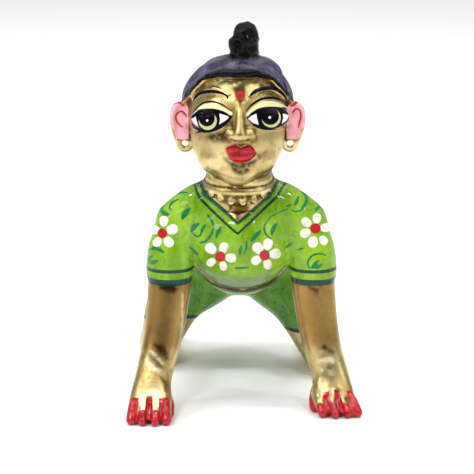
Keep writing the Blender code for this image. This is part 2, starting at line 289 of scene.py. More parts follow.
def face(wax):
    """Brow ridges, eyeballs, a narrow straight nose with wide nostrils, and full lips."""
    bridge = [
        (-13.7, 82.0, 0.9, 0.8),
        (-15.0, 79.3, 0.95, 1.05),
        (-16.3, 77.0, 1.15, 1.3),
        (-17.2, 75.1, 1.45, 1.35),
    ]
    limb(wax, [(FACE_X, *row) for row in bridge], squareness=2.5, steps=8, sides=32)
    egg(wax, (FACE_X, -16.2, 74.7), (2.2, 2.1, 1.45))
    for side in SIDES:
        egg(wax, (FACE_X + side * 2.35, -14.7, 74.9), (1.75, 2.2, 1.6), (0, side * 14, 0))
        egg(wax, (FACE_X + side * 7.2, -9.4, 78.0), (5.2, 4.5, 3.1), (0, side * 3, side * 18))
        brow = [(2.7, -12.7, 84.1), (7.0, -10.6, 85.4), (11.6, -6.4, 82.0)]
        limb(wax, [(FACE_X + side * x, y, z, 0.55, 0.55) for x, y, z in brow], steps=8, sides=16)
        egg(wax, (FACE_X + side * 1.5, -15.2, 70.9), (2.0, 1.2, 0.8), (0, side * 12, 0))
        egg(wax, (FACE_X + side * 1.1, -15.0, 69.2), (2.3, 1.3, 0.95), (0, -side * 8, 0))


def ear(wax, side):
    """A flat ear standing out and facing forwards, with a raised rim and a heavy lobe."""
    egg(wax, (side * 14.5, -1.4, 76.6), (2.7, 0.95, 3.8), (0, side * 8, 0))
    egg(wax, (side * 13.4, -2.0, 71.2), (2.3, 1.0, 3.1), (0, side * 14, 0))
    egg(wax, ear_lobe(side), (2.3, 1.15, 2.3))
    rim = [
        (12.8, -2.2, 79.6),
        (14.2, -2.1, 80.2),
        (15.9, -2.1, 78.8),
        (16.6, -2.1, 75.8),
        (15.9, -2.3, 72.4),
        (15.2, -2.4, 70.4),
    ]
    limb(wax, [(side * x, y, z, 0.62, 0.62) for x, y, z in rim], steps=8, sides=16)


def ear_lobe(side):
    return np.array((side * 13.3, -2.2, 69.8))


def hair(wax):
    """A smooth cap of combed-up hair with a rolled edge in front, and the knot on top."""
    unit, faces = ball_mesh(140)
    cap = unit * HAIR_SIZE
    under = cap[:, 2] + HAIR_AT[2] < hairline(np.abs(round_head(cap + HAIR_AT)))
    cap[under] *= UNDER_HAIR
    wax.add(cap + HAIR_AT, faces)
    edge = []
    for turn in range(-96, 97, 8):
        z = hairline(abs(turn)) + HAIR_ROLL / 2
        out = 0.955 * math.sqrt(1 - ((z - HAIR_AT[2]) / HAIR_SIZE[2]) ** 2)
        a = math.radians(turn)
        x, y = out * HAIR_SIZE[0] * math.sin(a), HAIR_AT[1] - out * HAIR_SIZE[1] * math.cos(a)
        edge.append((x, y, z, HAIR_ROLL, HAIR_ROLL))
    limb(wax, edge, steps=4, sides=20, across=(0, 0, 1))
    egg(wax, (0.8, 0.2, 86.5), (10.2, 8.5, 5.7))
    egg(wax, (1.75, 0.3, 92.6), (3.7, 3.8, 3.2))
    egg(wax, (2.35, 0.3, 95.9), (3.1, 3.4, 4.5))
    egg(wax, (1.3, 0.2, 97.4), (2.4, 2.8, 2.7))
    egg(wax, (-0.4, -0.4, 94.7), (2.0, 2.2, 2.4))
    limb(wax, [(2.2, 0.3, 91.5, 3.2, 3.2), (2.3, 0.3, 94.0, 3.1, 3.2), (2.3, 0.3, 96.4, 3.0, 3.1)], steps=4)


def round_head(points):
    """Degrees round the head from the front."""
    return np.degrees(np.arctan2(points[:, 0], HAIR_AT[1] - points[:, 1]))


def hairline(turn):
    return np.interp(turn, HAIRLINE_TURN, HAIRLINE_Z)


def finger(side, i):
    """The stations of one finger, with 0 the first on the inner side."""
    root_x = BODY_X + side * (HAND_X[side] + (i - 1.5) * FINGER_GAP)
    lean = side * (FINGER_SPREAD[side] + (i - 1.5) * 0.05)
    reach = 6.4 - 0.7 * abs(i - 1.3)
    return [
        (root_x - lean, HAND_Y[side] + 1.5, 4.9, 1.35, 1.5),
        (root_x + lean * 2.4, HAND_Y[side] - 2.4, 3.7, 1.3, 1.45),
        (root_x + lean * reach, HAND_Y[side] - reach + 1.0, 1.75, 1.3, 1.35),
    ]


def thumb(side):
    stations = [(-4.0, 5.0, 5.0), (-4.7, 2.2, 3.4), (-4.7, -0.2, 1.8)]
    return [(BODY_X + side * (HAND_X[side] + x), HAND_Y[side] + y, z, 1.5, 1.4) for x, y, z in stations]


def hand(wax, side):
    """A palm flat on the floor, four fingers laid forwards and a thumb on the inner side."""
    palm = (BODY_X + side * HAND_X[side], HAND_Y[side] + 0.6, PALM)
    egg(wax, palm, (5.6, 4.4, PALM))
    for i in range(4):
        limb(wax, finger(side, i), sides=20, steps=6)
    limb(wax, thumb(side), sides=20, steps=6)


def toes(wax, ball, way, side):
    """Five round toes, the big one on the inner side, tucked under against the floor."""
    across = np.array((way[1], -way[0], 0)) / np.hypot(*way[:2]) * side
    for i in range(5):
        size = 1.6 if i == 0 else 1.25 - 0.06 * i
        middle = ball + way * (3.0 - 0.4 * i) - across * (3.2 - 1.65 * i)
        egg(wax, (middle[0], middle[1], size), (size, size * 1.6, size * 1.1), fineness=24)


def necklace(wax):
    """The two folds of the neck and a string of round beads below them."""
    roll(wax, (0.3, -0.5, 60.7), (7.6, 7.1), 1.05)
    roll(wax, (0.4, -0.2, 58.4), (8.2, 7.4), 1.1)
    for place in bead_places():
        egg(wax, place, (BEAD,) * 3, fineness=16)


def bead_places():
    turn = 2 * math.pi * (np.arange(BEADS) + 0.5) / BEADS
    rise = 3.4 * (1 - np.exp(-1.6 * (1 + np.sin(turn))))
    return np.stack([0.6 + 9.1 * np.cos(turn), 7.5 * np.sin(turn), 55.65 + rise], 1)


# Casting


def placed(name, data):
    obj = bpy.data.objects.new(name, data)
    bpy.context.scene.collection.objects.link(obj)
    return obj


def as_object(name, points, faces):
    mesh = bpy.data.meshes.new(name)
    mesh.from_pydata((np.asarray(points) - BOX_MIDDLE) * SHARE, [], faces)
    return placed(name, mesh)


def read_shares(mesh):
    """A mesh's points and outward normals, in shares."""
    points = np.empty(len(mesh.vertices) * 3)
    mesh.vertices.foreach_get("co", points)
    normals = np.empty(len(mesh.vertices) * 3)
    mesh.vertex_normals.foreach_get("vector", normals)
    return points.reshape(-1, 3) / SHARE + BOX_MIDDLE, normals.reshape(-1, 3)


def baked(obj):
    """The object's mesh with its modifiers applied. The object itself is removed."""
    graph = bpy.context.evaluated_depsgraph_get()
    mesh = bpy.data.meshes.new_from_object(obj.evaluated_get(graph))
    bpy.data.objects.remove(obj)
    return mesh


def melt_together(obj, grain, passes):
    """Joins the overlapping forms into one skin and softens where they meet."""
    melt = obj.modifiers.new("Melt", "REMESH")
    melt.mode = "VOXEL"
    melt.voxel_size = grain * SHARE
    soften = obj.modifiers.new("Soften", "SMOOTH")
    soften.factor = 0.5
    soften.iterations = passes
    return baked(obj)


def faces_of(mesh):
    return [tuple(polygon.vertices) for polygon in mesh.polygons]


def cast_figure():
    """The whole figure as one fine skin: masses first, then the smaller forms on them."""
    masses = Wax()
    torso(masses)
    head(masses)
    feet = []
    for side in SIDES:
        arm(masses, side)
        feet.append((*leg(masses, side), side))
    rough = as_object("masses", np.concatenate(masses.points), masses.faces)
    large = melt_together(rough, MASS_GRAIN, MASS_PASSES)

    forms = Wax()
    hair(forms)
    face(forms)
    necklace(forms)
    for side in SIDES:
        ear(forms, side)
        sleeve(forms, side)
        hand(forms, side)
    for ball, way, side in feet:
        toes(forms, ball, way, side)
    forms.add(read_shares(large)[0], faces_of(large))
    whole = as_object("forms", np.concatenate(forms.points), forms.faces)
    return melt_together(whole, FORM_GRAIN, FORM_PASSES)


def lobe_drills():
    """Two round drills, front to back through the earlobes."""
    drills = Wax()
    for side in SIDES:
        turn = 2 * math.pi * np.arange(24) / 24
        ring = np.stack([np.cos(turn), 0 * turn, np.sin(turn)], -1) * LOBE_HOLE / 2 + ear_lobe(side)
        ends = [ring + (0, 4, 0), ring + (0, -4, 0)]
        drills.add(np.concatenate(ends), [*skin(2, 24), tuple(range(24))[::-1], tuple(range(24, 48))])
    obj = as_object("lobe drills", np.concatenate(drills.points), drills.faces)
    obj.hide_render = True
    return obj


def chase(points, normals):
    """The fine relief cut into the wax: combed hair, the knot, beads, ears and lips."""
    x, y, z = points.T
    turn = round_head(points)
    in_hair = np.clip((hair_field(points) - 0.8) / 0.8, 0, 1) * np.clip((90.4 - z) / 1.2, 0, 1)
    waver = 1.2 * np.sin(z * 0.9 + turn * 0.05) + 0.8 * np.sin(turn * 0.23)
    depth = -0.1 * in_hair * (0.5 + 0.5 * np.cos(np.radians(turn) * 62 + waver))
    knot = np.clip((z - 91.2) / 0.8, 0, 1)
    round_knot = np.arctan2(x - 1.6, 0.3 - y)
    depth += 0.1 * knot
    depth -= 0.2 * knot * (0.5 + 0.5 * np.cos(round_knot * 6 + z * 1.9 + 1.4 * np.sin(z * 1.7)))
    depth += 0.5 * np.clip((hair_field(points) - 1.2) / 4, 0, 1) * np.clip((92 - z) / 1.5, 0, 1)
    spots = seen(points)
    in_front = (normals[:, 1] < -0.2) & (z > 62)
    on_ear = in_front & (np.abs(x) > 12)
    for fold in EAR_BOWLS:
        bowl = filled(spots, [[station[:2] for station in fold]])
        depth -= 0.22 * on_ear * np.clip(bowl / 0.8, 0, 1)
        depth -= 0.3 * on_ear * np.clip((brushed(spots, [fold]) + 0.5) / 0.5, 0, 1)
    depth -= 0.2 * in_front * np.clip((brushed(spots, LIP_PARTING) + 0.25) / 0.3, 0, 1)
    depth -= 0.12 * in_front * np.clip((brushed(spots, NOSTRILS) + 0.3) / 0.3, 0, 1)
    comb = (z < 54.6 + 0.02 * y) & (z > 52.6) & (y < 0)
    round_neck = np.arctan2(x - 0.6, -y)
    depth -= 0.13 * comb * (0.5 + 0.5 * np.cos(round_neck * 72))
    for side in SIDES:
        groove = np.clip((CLEFT - np.abs(over_fingers(points, side)) * FINGER_GAP) / 0.4, 0, 1)
        on_hand = ((x - BODY_X) * side > HAND_INSIDE) & (z < 7) & (y < HAND_Y[side] - 0.4)
        depth -= 0.45 * groove * on_hand
    for place in bead_places():
        way = (place - (0.6, 0, place[2])) / np.linalg.norm(place - (0.6, 0, place[2]))
        reach = points - place
        out = reach @ way
        aside = np.linalg.norm(reach - out[:, None] * way, axis=1)
        depth -= 0.4 * ((out > 0.1) & (out < 1.6)) * np.clip(1 - aside / 0.55, 0, 1)
    return points + normals * depth[:, None]


def finished_skin():
    """Chased, thinned where it is smooth, filed flat below and drilled through the lobes."""
    fine = cast_figure()
    points, normals = read_shares(fine)
    points = chase(points, normals)
    points[:, 2] = np.maximum(points[:, 2], BOX_MIDDLE[2])
    obj = as_object("figure", points, faces_of(fine))
    detail = obj.vertex_groups.new(name="detail")
    near = fine_places(points)
    for level in np.unique(near):
        chosen = np.flatnonzero(near == level)
        detail.add(chosen.tolist(), float(level), "REPLACE")
    thin = obj.modifiers.new("Thin out", "DECIMATE")
    thin.ratio = TRIANGLES / (2 * len(obj.data.polygons))
    thin.vertex_group = "detail"
    thin.vertex_group_factor = 1.0
    thin.invert_vertex_group = True
    drills = lobe_drills()
    drill = obj.modifiers.new("Drill", "BOOLEAN")
    drill.operation = "DIFFERENCE"
    drill.solver = "EXACT"
    drill.object = drills
    faces_only = obj.modifiers.new("Faces", "TRIANGULATE")
    faces_only.quad_method = "SHORTEST_DIAGONAL"
    mesh = baked(obj)
    bpy.data.objects.remove(drills)
    points, _ = read_shares(mesh)
    corners = np.empty(len(mesh.loops), int)
    mesh.loops.foreach_get("vertex_index", corners)
    return points, corners.reshape(-1, 3)


def fine_places(points):
    """Where the skin keeps its full fineness: 1 on the face and 0.5 on head and hands."""
    _, y, z = points.T
    level = np.full(len(points), 0.2)
    level[(z > 55) | (z < 7.5) & (y < 0)] = 0.5
    level[(z > 66) & (y < -5) & (z < 88)] = 1.0
    return level


# Where each finish lies


def below_neckline(points, line, behind):
    """How far below a neckline a point is: the V as the painter sees it, level behind."""
    u, v = seen(points).T
    line = np.array(line)
    slope = np.gradient(line[:, 1], line[:, 0])
    lean = np.interp(u, line[:, 0], 1 / np.sqrt(1 + slope**2))
    front = (np.interp(u, line[:, 0], line[:, 1]) - v) * lean
    back = behind - 0.12 * (points[:, 1] - 3) - points[:, 2]
    return front + (back - front) * np.clip(points[:, 1] - 2.5, 0, 1)


def inner_neckline(points):
    return below_neckline(points, NECK_INNER, NECK_INNER_BEHIND) + NECK_OVERLAP


def outer_neckline(points):
    return below_neckline(points, NECK_OUTER, NECK_OUTER_BEHIND)


def on_arms(points):
    """Outside the chest and in front of the hips, where only the arms are."""
    return (np.abs(points[:, 0] - BODY_X) > 12) & (points[:, 1] < 8)


def above_cuff(points):
    """Height above the sleeve's hem, and large away from the arms."""
    return np.where(on_arms(points), points[:, 2] - CUFF_Z, 9.0)


# The neckline's inner and outer lines, right and up from AIM
NECK_INNER = [
    (-9.6, 15.5), (-8.8, 12.1), (-7.2, 10.15), (-4.45, 7.8), (-2.1, 5.8), (0.17, 3.6),
    (2.45, 5.4), (5.9, 8.55), (8.5, 10.85), (9.75, 13.0), (10.8, 15.6),
]
NECK_OUTER = [
    (-11.3, 15.0), (-10.2, 11.1), (-8.8, 9.2), (-6.0, 6.4), (-3.1, 3.65), (0.17, 0.8),
    (2.8, 3.25), (4.2, 4.65), (7.4, 7.65), (10.2, 10.4), (11.5, 12.6), (13.2, 15.0),
]
NECK_INNER_BEHIND = 59.3
NECK_OUTER_BEHIND = 57.2
NECK_OVERLAP = 0.42  # how far the green reaches up over the inner line
CUFF_Z = 33.15
WAIST_WAY = np.array((0, 0.756, -0.654))
WAIST_AT = -16.0
WAIST_STRIP = 2.4
EAR_ROUNDS = [((14.5, -1.8, 76.6), (3.1, 2.0, 4.5)), ((13.4, -2.0, 72.6), (2.9, 2.0, 3.2))]
TROUSER_HEM = {-1: (27.0, 14.1, 0.28), 1: (19.9, 12.5, 0.08)}


def blouse_field(points):
    waist = WAIST_AT - points @ WAIST_WAY
    return np.minimum.reduce([inner_neckline(points), above_cuff(points), waist])


def above_knee_hem(points):
    x, y, z = points.T
    height = np.zeros(len(points))
    for side in SIDES:
        at_y, at_z, fall = TROUSER_HEM[side]
        here = (x - BODY_X) * side > 0
        height[here] = (z - at_z + fall * np.clip(y - at_y, -9, 9))[here]
    return height


def trouser_field(points):
    below_waist = points @ WAIST_WAY - WAIST_AT - WAIST_STRIP
    off_arms = np.where(on_arms(points), -9.0, 9.0)
    return np.minimum.reduce([below_waist, above_knee_hem(points), off_arms])


def ear_field(points):
    """The pink of both ears, down to the bare lobes."""
    found = []
    for middle, radii in EAR_ROUNDS:
        spot = (np.abs(points) * (1, 0, 0) + points * (0, 1, 1) - middle) / radii
        found.append((1 - np.linalg.norm(spot, axis=1)) * 2)
    return np.minimum.reduce([np.maximum(*found), np.abs(points[:, 0]) - 12.4, points[:, 2] - 71.0])


def hair_field(points):
    above = points[:, 2] - hairline(np.abs(round_head(points))) + 0.3
    return np.minimum(above, np.where(ear_field(points) > -0.3, -1.0, 9.0))


def over_fingers(points, side):
    """Where a point lies across the four fingers, -1.5 the inner one and 1.5 the outer."""
    reach = HAND_Y[side] + 1.0 - points[:, 1]
    lean = FINGER_SPREAD[side] * reach
    across = (points[:, 0] - BODY_X) * side - HAND_X[side] - lean
    return across / (FINGER_GAP + 0.05 * reach)


def red_field(points):
    """Fingertips, the middle cleft, the outer fingers and the thumbs."""
    x, y, z = points.T
    found = np.full(len(points), -9.0)
    for side in SIDES:
        place = over_fingers(points, side)
        clefts = CLEFT - np.min([np.abs(place - at) for at in RED_CLEFTS[side]], axis=0) * FINGER_GAP
        outer = (place - 0.95) * FINGER_GAP
        tip = HAND_Y[side] - 3.9 - y
        red = np.minimum(np.maximum.reduce([clefts, outer, tip]), HAND_Y[side] - 0.4 - y)
        stations = between(thumb(side), 6)[4:, :3]
        away = np.min(np.linalg.norm(points[:, None] - stations[None], axis=2), axis=1)
        red = np.maximum(red, 1.75 - away)
        here = ((x - BODY_X) * side > HAND_INSIDE) & (z < 6.5) & (y < 3)
        found[here] = np.maximum(found, red)[here]
    return found


def lip_field(points):
    """The lips and the round mark on the forehead."""
    spots = seen(points)
    on_face = (points[:, 2] > 60) & (points[:, 1] < -8) & (np.abs(points[:, 0]) < 8)
    painted = np.maximum(filled(spots, LIPS, steps=3), brushed(spots, BINDI))
    return np.where(on_face, painted, OUTSIDE)


def cut_along(points, faces, field):
    """Splits the triangles that the field's zero line crosses, so that a finish ends on it."""
    value = field(points)
    value[np.abs(value) < 1e-4] = 1e-4
    over = value > 0
    count = over[faces].sum(1)
    mixed = (count == 1) | (count == 2)
    whole, cross = faces[~mixed], faces[mixed]
    lone = np.where(count[mixed] == 1, np.argmax(over[cross], 1), np.argmin(over[cross], 1))
    rows = np.arange(len(cross))
    a, b, c = (cross[rows, (lone + k) % 3] for k in range(3))
    ends = np.sort(np.concatenate([np.stack([a, b], 1), np.stack([a, c], 1)]), axis=1)
    pairs, where = np.unique(ends, axis=0, return_inverse=True)
    where = where.reshape(-1)
    first, second = value[pairs[:, 0]], value[pairs[:, 1]]
    share = (first / (first - second))[:, None]
    made = points[pairs[:, 0]] * (1 - share) + points[pairs[:, 1]] * share
    p, q = where[: len(cross)] + len(points), where[len(cross) :] + len(points)
    pieces = [whole, np.stack([a, p, q], 1), np.stack([p, b, c], 1), np.stack([p, c, q], 1)]
    return np.concatenate([points, made]), np.concatenate(pieces)


def outward(points, faces):
    """The skin's normals, each face weighed by its area."""
    a, b, c = (points[faces[:, k]] for k in range(3))
    across = np.cross(b - a, c - a)
    total = np.zeros_like(points)
    for k in range(3):
        for axis in range(3):
            total[:, axis] += np.bincount(faces[:, k], across[:, axis], len(points))
    return total / np.maximum(np.linalg.norm(total, axis=1), 1e-12)[:, None]


def made_finer(points, faces, wanted, longest):
    """Halves the long edges where a fine line is painted. The new points follow the curve
    of the skin, and not the flat of the old triangle."""
    normals = outward(points, faces)
    sides = np.sort(np.stack([faces, np.roll(faces, -1, 1)], 2).reshape(-1, 2), axis=1)
    edges, where = np.unique(sides, axis=0, return_inverse=True)
    where = where.reshape(-1, 3)
    a, b = points[edges[:, 0]], points[edges[:, 1]]
    split = (np.linalg.norm(a - b, axis=1) > longest) & wanted[edges].any(1)
    middle = (a + b) / 2
    rounded = middle.copy()
    for end in (0, 1):
        at, out = points[edges[:, end]], normals[edges[:, end]]
        rounded -= 0.375 * ((middle - at) * out).sum(1)[:, None] * out
    number = np.full(len(edges), -1)
    number[split] = len(points) + np.arange(split.sum())
    points = np.concatenate([points, rounded[split]])
    cut = number[where]
    count = (cut >= 0).sum(1)
    found = [faces[count == 0]]
    for cuts in (1, 2, 3):
        some, new = faces[count == cuts], cut[count == cuts]
        first = np.argmax(new >= 0, 1) if cuts == 1 else (np.argmin(new >= 0, 1) + 1) % 3
        if cuts == 3:
            first = np.zeros(len(some), int)
        rows = np.arange(len(some))
        p, q, r = (some[rows, (first + k) % 3] for k in range(3))
        m, n, o = (new[rows, (first + k) % 3] for k in range(3))
        if cuts == 1:
            found += [np.stack([p, m, r], 1), np.stack([m, q, r], 1)]
        elif cuts == 2:
            found += [np.stack([m, q, n], 1), np.stack([p, m, n], 1), np.stack([p, n, r], 1)]
        else:
            found += [np.stack(t, 1) for t in ((p, m, o), (m, q, n), (o, n, r), (m, n, o))]
    return points, np.concatenate(found)


# Brush strokes

# Enlarged details of the front view: left edge, top edge and enlargement, in the view's pixels
VIEW_MIDDLE = 237
PIXELS_A_SHARE = 3.882
FACE = (180, 80, 13.07)
RIGHT_EAR = (165, 90, 22.4)
LEFT_EAR = (280, 90, 22.4)
RIGHT_CHEST = (140, 170, 12.06)
LEFT_CHEST = (245, 170, 12.06)
MID_CHEST = (160, 180, 13.07)


def read_off(detail, *strokes):
    """Strokes read off a detail, each station across, down and as wide as the brush.
    They become shares right and up from AIM, and half the width, to a hundredth."""
    left, top, enlarged = detail
    found = []
    for stroke in strokes:
        stations = []
        for across, down, *width in stroke:
            right = ((left + across / enlarged) - VIEW_MIDDLE) / PIXELS_A_SHARE
            up = (VIEW_MIDDLE - (top + down / enlarged)) / PIXELS_A_SHARE
            half = [wide / enlarged / PIXELS_A_SHARE / 2 for wide in width]
            stations.append(tuple(round(value, 2) for value in (right, up, *half)))
        found.append(stations)
    return found


def dabs_off(detail, *dabs):
    """Single round touches of the brush, read off a detail."""
    return read_off(detail, *([dab] for dab in dabs))


BROWS = read_off(
    FACE,
    [
        (168, 290, 8), (195, 235, 28), (250, 180, 44), (330, 156, 46), (430, 150, 46),
        (520, 165, 34), (580, 185, 26), (625, 218, 22),
    ],
    [(600, 190, 10), (622, 238, 24)],
    [
        (922, 198, 28), (965, 160, 44), (1010, 135, 48), (1090, 112, 52), (1170, 102, 52),
        (1250, 118, 50), (1315, 155, 44), (1370, 215, 30), (1400, 275, 18), (1418, 330, 6),
    ],
)
LID_CREASES = read_off(
    FACE,
    [
        (150, 455, 8), (190, 400, 16), (240, 345, 20), (310, 297, 24), (400, 282, 26),
        (480, 294, 24), (560, 327, 18), (630, 372, 12), (685, 412, 8),
    ],
    [
        (862, 425, 8), (885, 380, 16), (930, 330, 24), (1000, 280, 32), (1080, 245, 34),
        (1170, 232, 34), (1260, 242, 32), (1330, 268, 24), (1385, 310, 16), (1425, 365, 10),
    ],
)
LASH_TAILS = read_off(
    FACE,
    [(270, 668, 30), (230, 685, 18), (192, 702, 6)],
    [(160, 575, 20), (190, 620, 30), (215, 640, 18)],
    [(1330, 605, 24), (1370, 622, 14), (1398, 636, 5)],
    [(1390, 555, 34), (1408, 588, 10)],
    [(655, 470, 14), (682, 455, 8)],
    [(868, 480, 10), (885, 490, 18)],
)
EYE_OUTLINES = read_off(
    FACE,
    [
        (150, 462), (190, 425), (235, 392), (300, 377), (400, 373), (480, 382), (560, 407),
        (610, 432), (660, 465), (680, 480), (650, 535), (580, 603), (500, 652), (420, 678),
        (330, 690), (250, 672), (195, 625), (160, 570), (146, 515),
    ],
    [
        (870, 482), (925, 437), (990, 392), (1060, 362), (1150, 350), (1250, 350), (1320, 358),
        (1375, 352), (1415, 395), (1430, 440), (1425, 500), (1400, 560), (1350, 605),
        (1280, 638), (1180, 657), (1080, 648), (980, 612), (920, 560), (880, 505),
    ],
)
EYE_WHITES = read_off(
    FACE,
    [(146, 512), (205, 477), (212, 520), (240, 614), (190, 572)],
    [(513, 438), (575, 457), (648, 482), (600, 527), (510, 584), (524, 520)],
    [(885, 506), (930, 470), (1000, 438), (1006, 500), (1030, 588), (950, 560)],
    [(1343, 438), (1424, 460), (1402, 520), (1328, 577), (1350, 500)],
)
LIDS = read_off(
    FACE,
    [
        (226, 390), (235, 370), (300, 320), (380, 305), (470, 317), (560, 352), (630, 392),
        (690, 430), (665, 464), (610, 430), (560, 405), (480, 380), (400, 370), (300, 375),
    ],
    [
        (865, 466), (865, 440), (900, 400), (950, 352), (1010, 312), (1090, 284), (1170, 273),
        (1250, 281), (1320, 306), (1375, 343), (1320, 356), (1250, 347), (1150, 346),
        (1060, 358), (990, 388), (925, 433), (885, 478),
    ],
)
LID_EDGES = read_off(
    FACE,
    [(240, 385, 8), (190, 425, 7), (146, 465, 5)],
    [(1365, 345, 14), (1400, 365, 10), (1424, 388, 4)],
)
IRIS_RINGS = read_off(
    FACE,
    [(362, 535, 236), (350, 503, 208)],
    [(1192, 495, 252), (1180, 472, 230)],
)
GLINTS = dabs_off(FACE, (356, 530, 30), (1172, 490, 34))
LIPS = read_off(
    FACE,
    [
        (593, 885), (640, 868), (690, 848), (730, 848), (765, 876), (800, 890), (835, 878),
        (870, 853), (920, 848), (955, 880), (995, 940), (1000, 965), (970, 1010), (900, 1060),
        (830, 1082), (760, 1082), (700, 1066), (650, 1032), (618, 970),
    ],
)
LIP_PARTING = read_off(
    FACE, [(635, 950, 5), (700, 963, 12), (800, 975, 14), (890, 968, 12), (975, 945, 5)]
)
BINDI = dabs_off(FACE, (787, 200, 124))
NOSTRILS = read_off(
    FACE,
    [(662, 640, 6), (622, 690, 9), (602, 740, 11), (612, 790, 11), (655, 806, 7)],
    [(985, 680, 6), (1002, 740, 11), (982, 790, 11), (925, 810, 8)],
)
# Painted shade beside the nose's bridge, round its wings and under its tip
NOSE_LINES = NOSTRILS + read_off(
    FACE,
    [(682, 450, 10), (688, 560, 12), (690, 660, 10)],
    [(748, 830, 8), (800, 850, 10), (850, 830, 8)],
)
EAR_BOWLS = [
    *read_off(
        RIGHT_EAR,
        [
            (492, 590, 12), (430, 515, 26), (360, 475, 18), (290, 515, 24), (243, 580, 22),
            (250, 650, 24), (278, 722, 18), (335, 785, 14), (405, 832, 6),
        ],
    ),
    *read_off(
        LEFT_EAR,
        [
            (280, 505, 16), (330, 440, 22), (385, 422, 14), (440, 460, 14), (462, 540, 17),
            (456, 640, 20), (430, 740, 17), (405, 842, 6),
        ],
    ),
]
EAR_LINES = [
    *EAR_BOWLS,
    *read_off(
        RIGHT_EAR,
        [
            (190, 325, 12), (240, 290, 20), (300, 282, 28), (360, 295, 34), (405, 335, 44),
            (430, 350, 20),
        ],
        [(195, 960, 14), (222, 1060, 20)],
    ),
    *read_off(
        LEFT_EAR,
        [(235, 355, 20), (300, 335, 44), (380, 262, 38), (450, 235, 16)],
        [(520, 900, 10), (490, 1010, 16)],
    ),
]
PETALS = [
    *dabs_off(
        RIGHT_CHEST,
        (285, 620, 100), (385, 718, 118), (345, 865, 110), (208, 865, 96), (180, 722, 100),
        (855, 950, 120), (1010, 940, 106), (1092, 1060, 104), (1003, 1155, 88), (858, 1112, 92),
    ),
    *dabs_off(
        LEFT_CHEST,
        (158, 945, 122), (275, 898, 114), (360, 1012, 118), (272, 1135, 100), (138, 1088, 102),
        (742, 632, 104), (866, 585, 98), (968, 695, 104), (945, 845, 94), (820, 865, 116),
        (730, 760, 106),
    ),
]
FLOWER_EYES = [
    *dabs_off(RIGHT_CHEST, (270, 762, 116), (968, 1043, 124)),
    *dabs_off(LEFT_CHEST, (236, 1028, 122), (850, 706, 124)),
]
LEAVES = [
    *read_off(
        RIGHT_CHEST,
        [(265, 440, 10), (265, 490, 30), (300, 525, 38), (350, 540, 12)],
        [(410, 290, 6), (490, 275, 14), (575, 270, 8)],
        [(460, 355, 6), (390, 390, 16), (355, 450, 12), (380, 480, 6)],
        [(512, 585, 20), (540, 530, 60), (602, 458, 20)],
        [(618, 742, 14), (650, 690, 50), (702, 650, 24)],
        [(735, 762, 12), (762, 700, 28), (790, 660, 8)],
        [
            (820, 550, 20), (870, 620, 20), (886, 700, 16), (850, 790, 20), (790, 860, 18),
            (730, 875, 10),
        ],
        [(640, 770, 8), (690, 802, 12), (738, 780, 10)],
        [(920, 812, 12), (940, 750, 36), (972, 688, 14)],
        [(600, 930, 8), (650, 975, 26), (692, 1016, 14)],
        [(110, 962, 16), (180, 942, 26), (250, 970, 26), (288, 996, 8)],
        [(140, 1132, 16), (165, 1110, 44), (208, 1098, 12)],
        [(108, 1120, 12), (115, 1060, 20), (152, 1038, 8)],
    ),
    *read_off(
        LEFT_CHEST,
        [(85, 850, 20), (125, 800, 44), (182, 740, 20)],
        [(320, 772, 14), (340, 710, 46), (377, 653, 20)],
        [(310, 828, 6), (265, 790, 10), (238, 740, 11), (232, 680, 11), (250, 640, 7)],
        [(600, 422, 14), (625, 385, 34), (642, 325, 14)],
        [(685, 268, 8), (735, 310, 24), (742, 380, 30), (702, 445, 26), (688, 462, 8)],
        [(850, 482, 16), (870, 465, 30), (896, 443, 12)],
        [(505, 440, 10), (540, 425, 20)],
        [(492, 934, 10), (525, 912, 18), (556, 891, 8)],
        [(640, 962, 5), (690, 945, 9)],
        [
            (975, 1030, 5), (930, 1012, 8), (870, 1012, 11), (810, 1035, 13), (770, 1080, 13),
            (758, 1130, 12), (776, 1186, 8),
        ],
        [(805, 1182, 14), (845, 1150, 54), (862, 1110, 16), (896, 1093, 4)],
        [(860, 1180, 20), (900, 1160, 24), (936, 1133, 6)],
        [(560, 480, 6), (620, 502, 9), (690, 475, 9), (716, 440, 5)],
        [(250, 640, 4), (320, 560, 6), (420, 510, 6), (512, 470, 4)],
    ),
    *read_off(
        MID_CHEST,
        [(1040, 965, 14), (1050, 920, 36), (1062, 865, 10)],
        [(1098, 965, 8), (1125, 900, 18), (1135, 800, 8)],
        [(985, 1152, 8), (1050, 1150, 20), (1147, 1145, 6)],
    ),
]
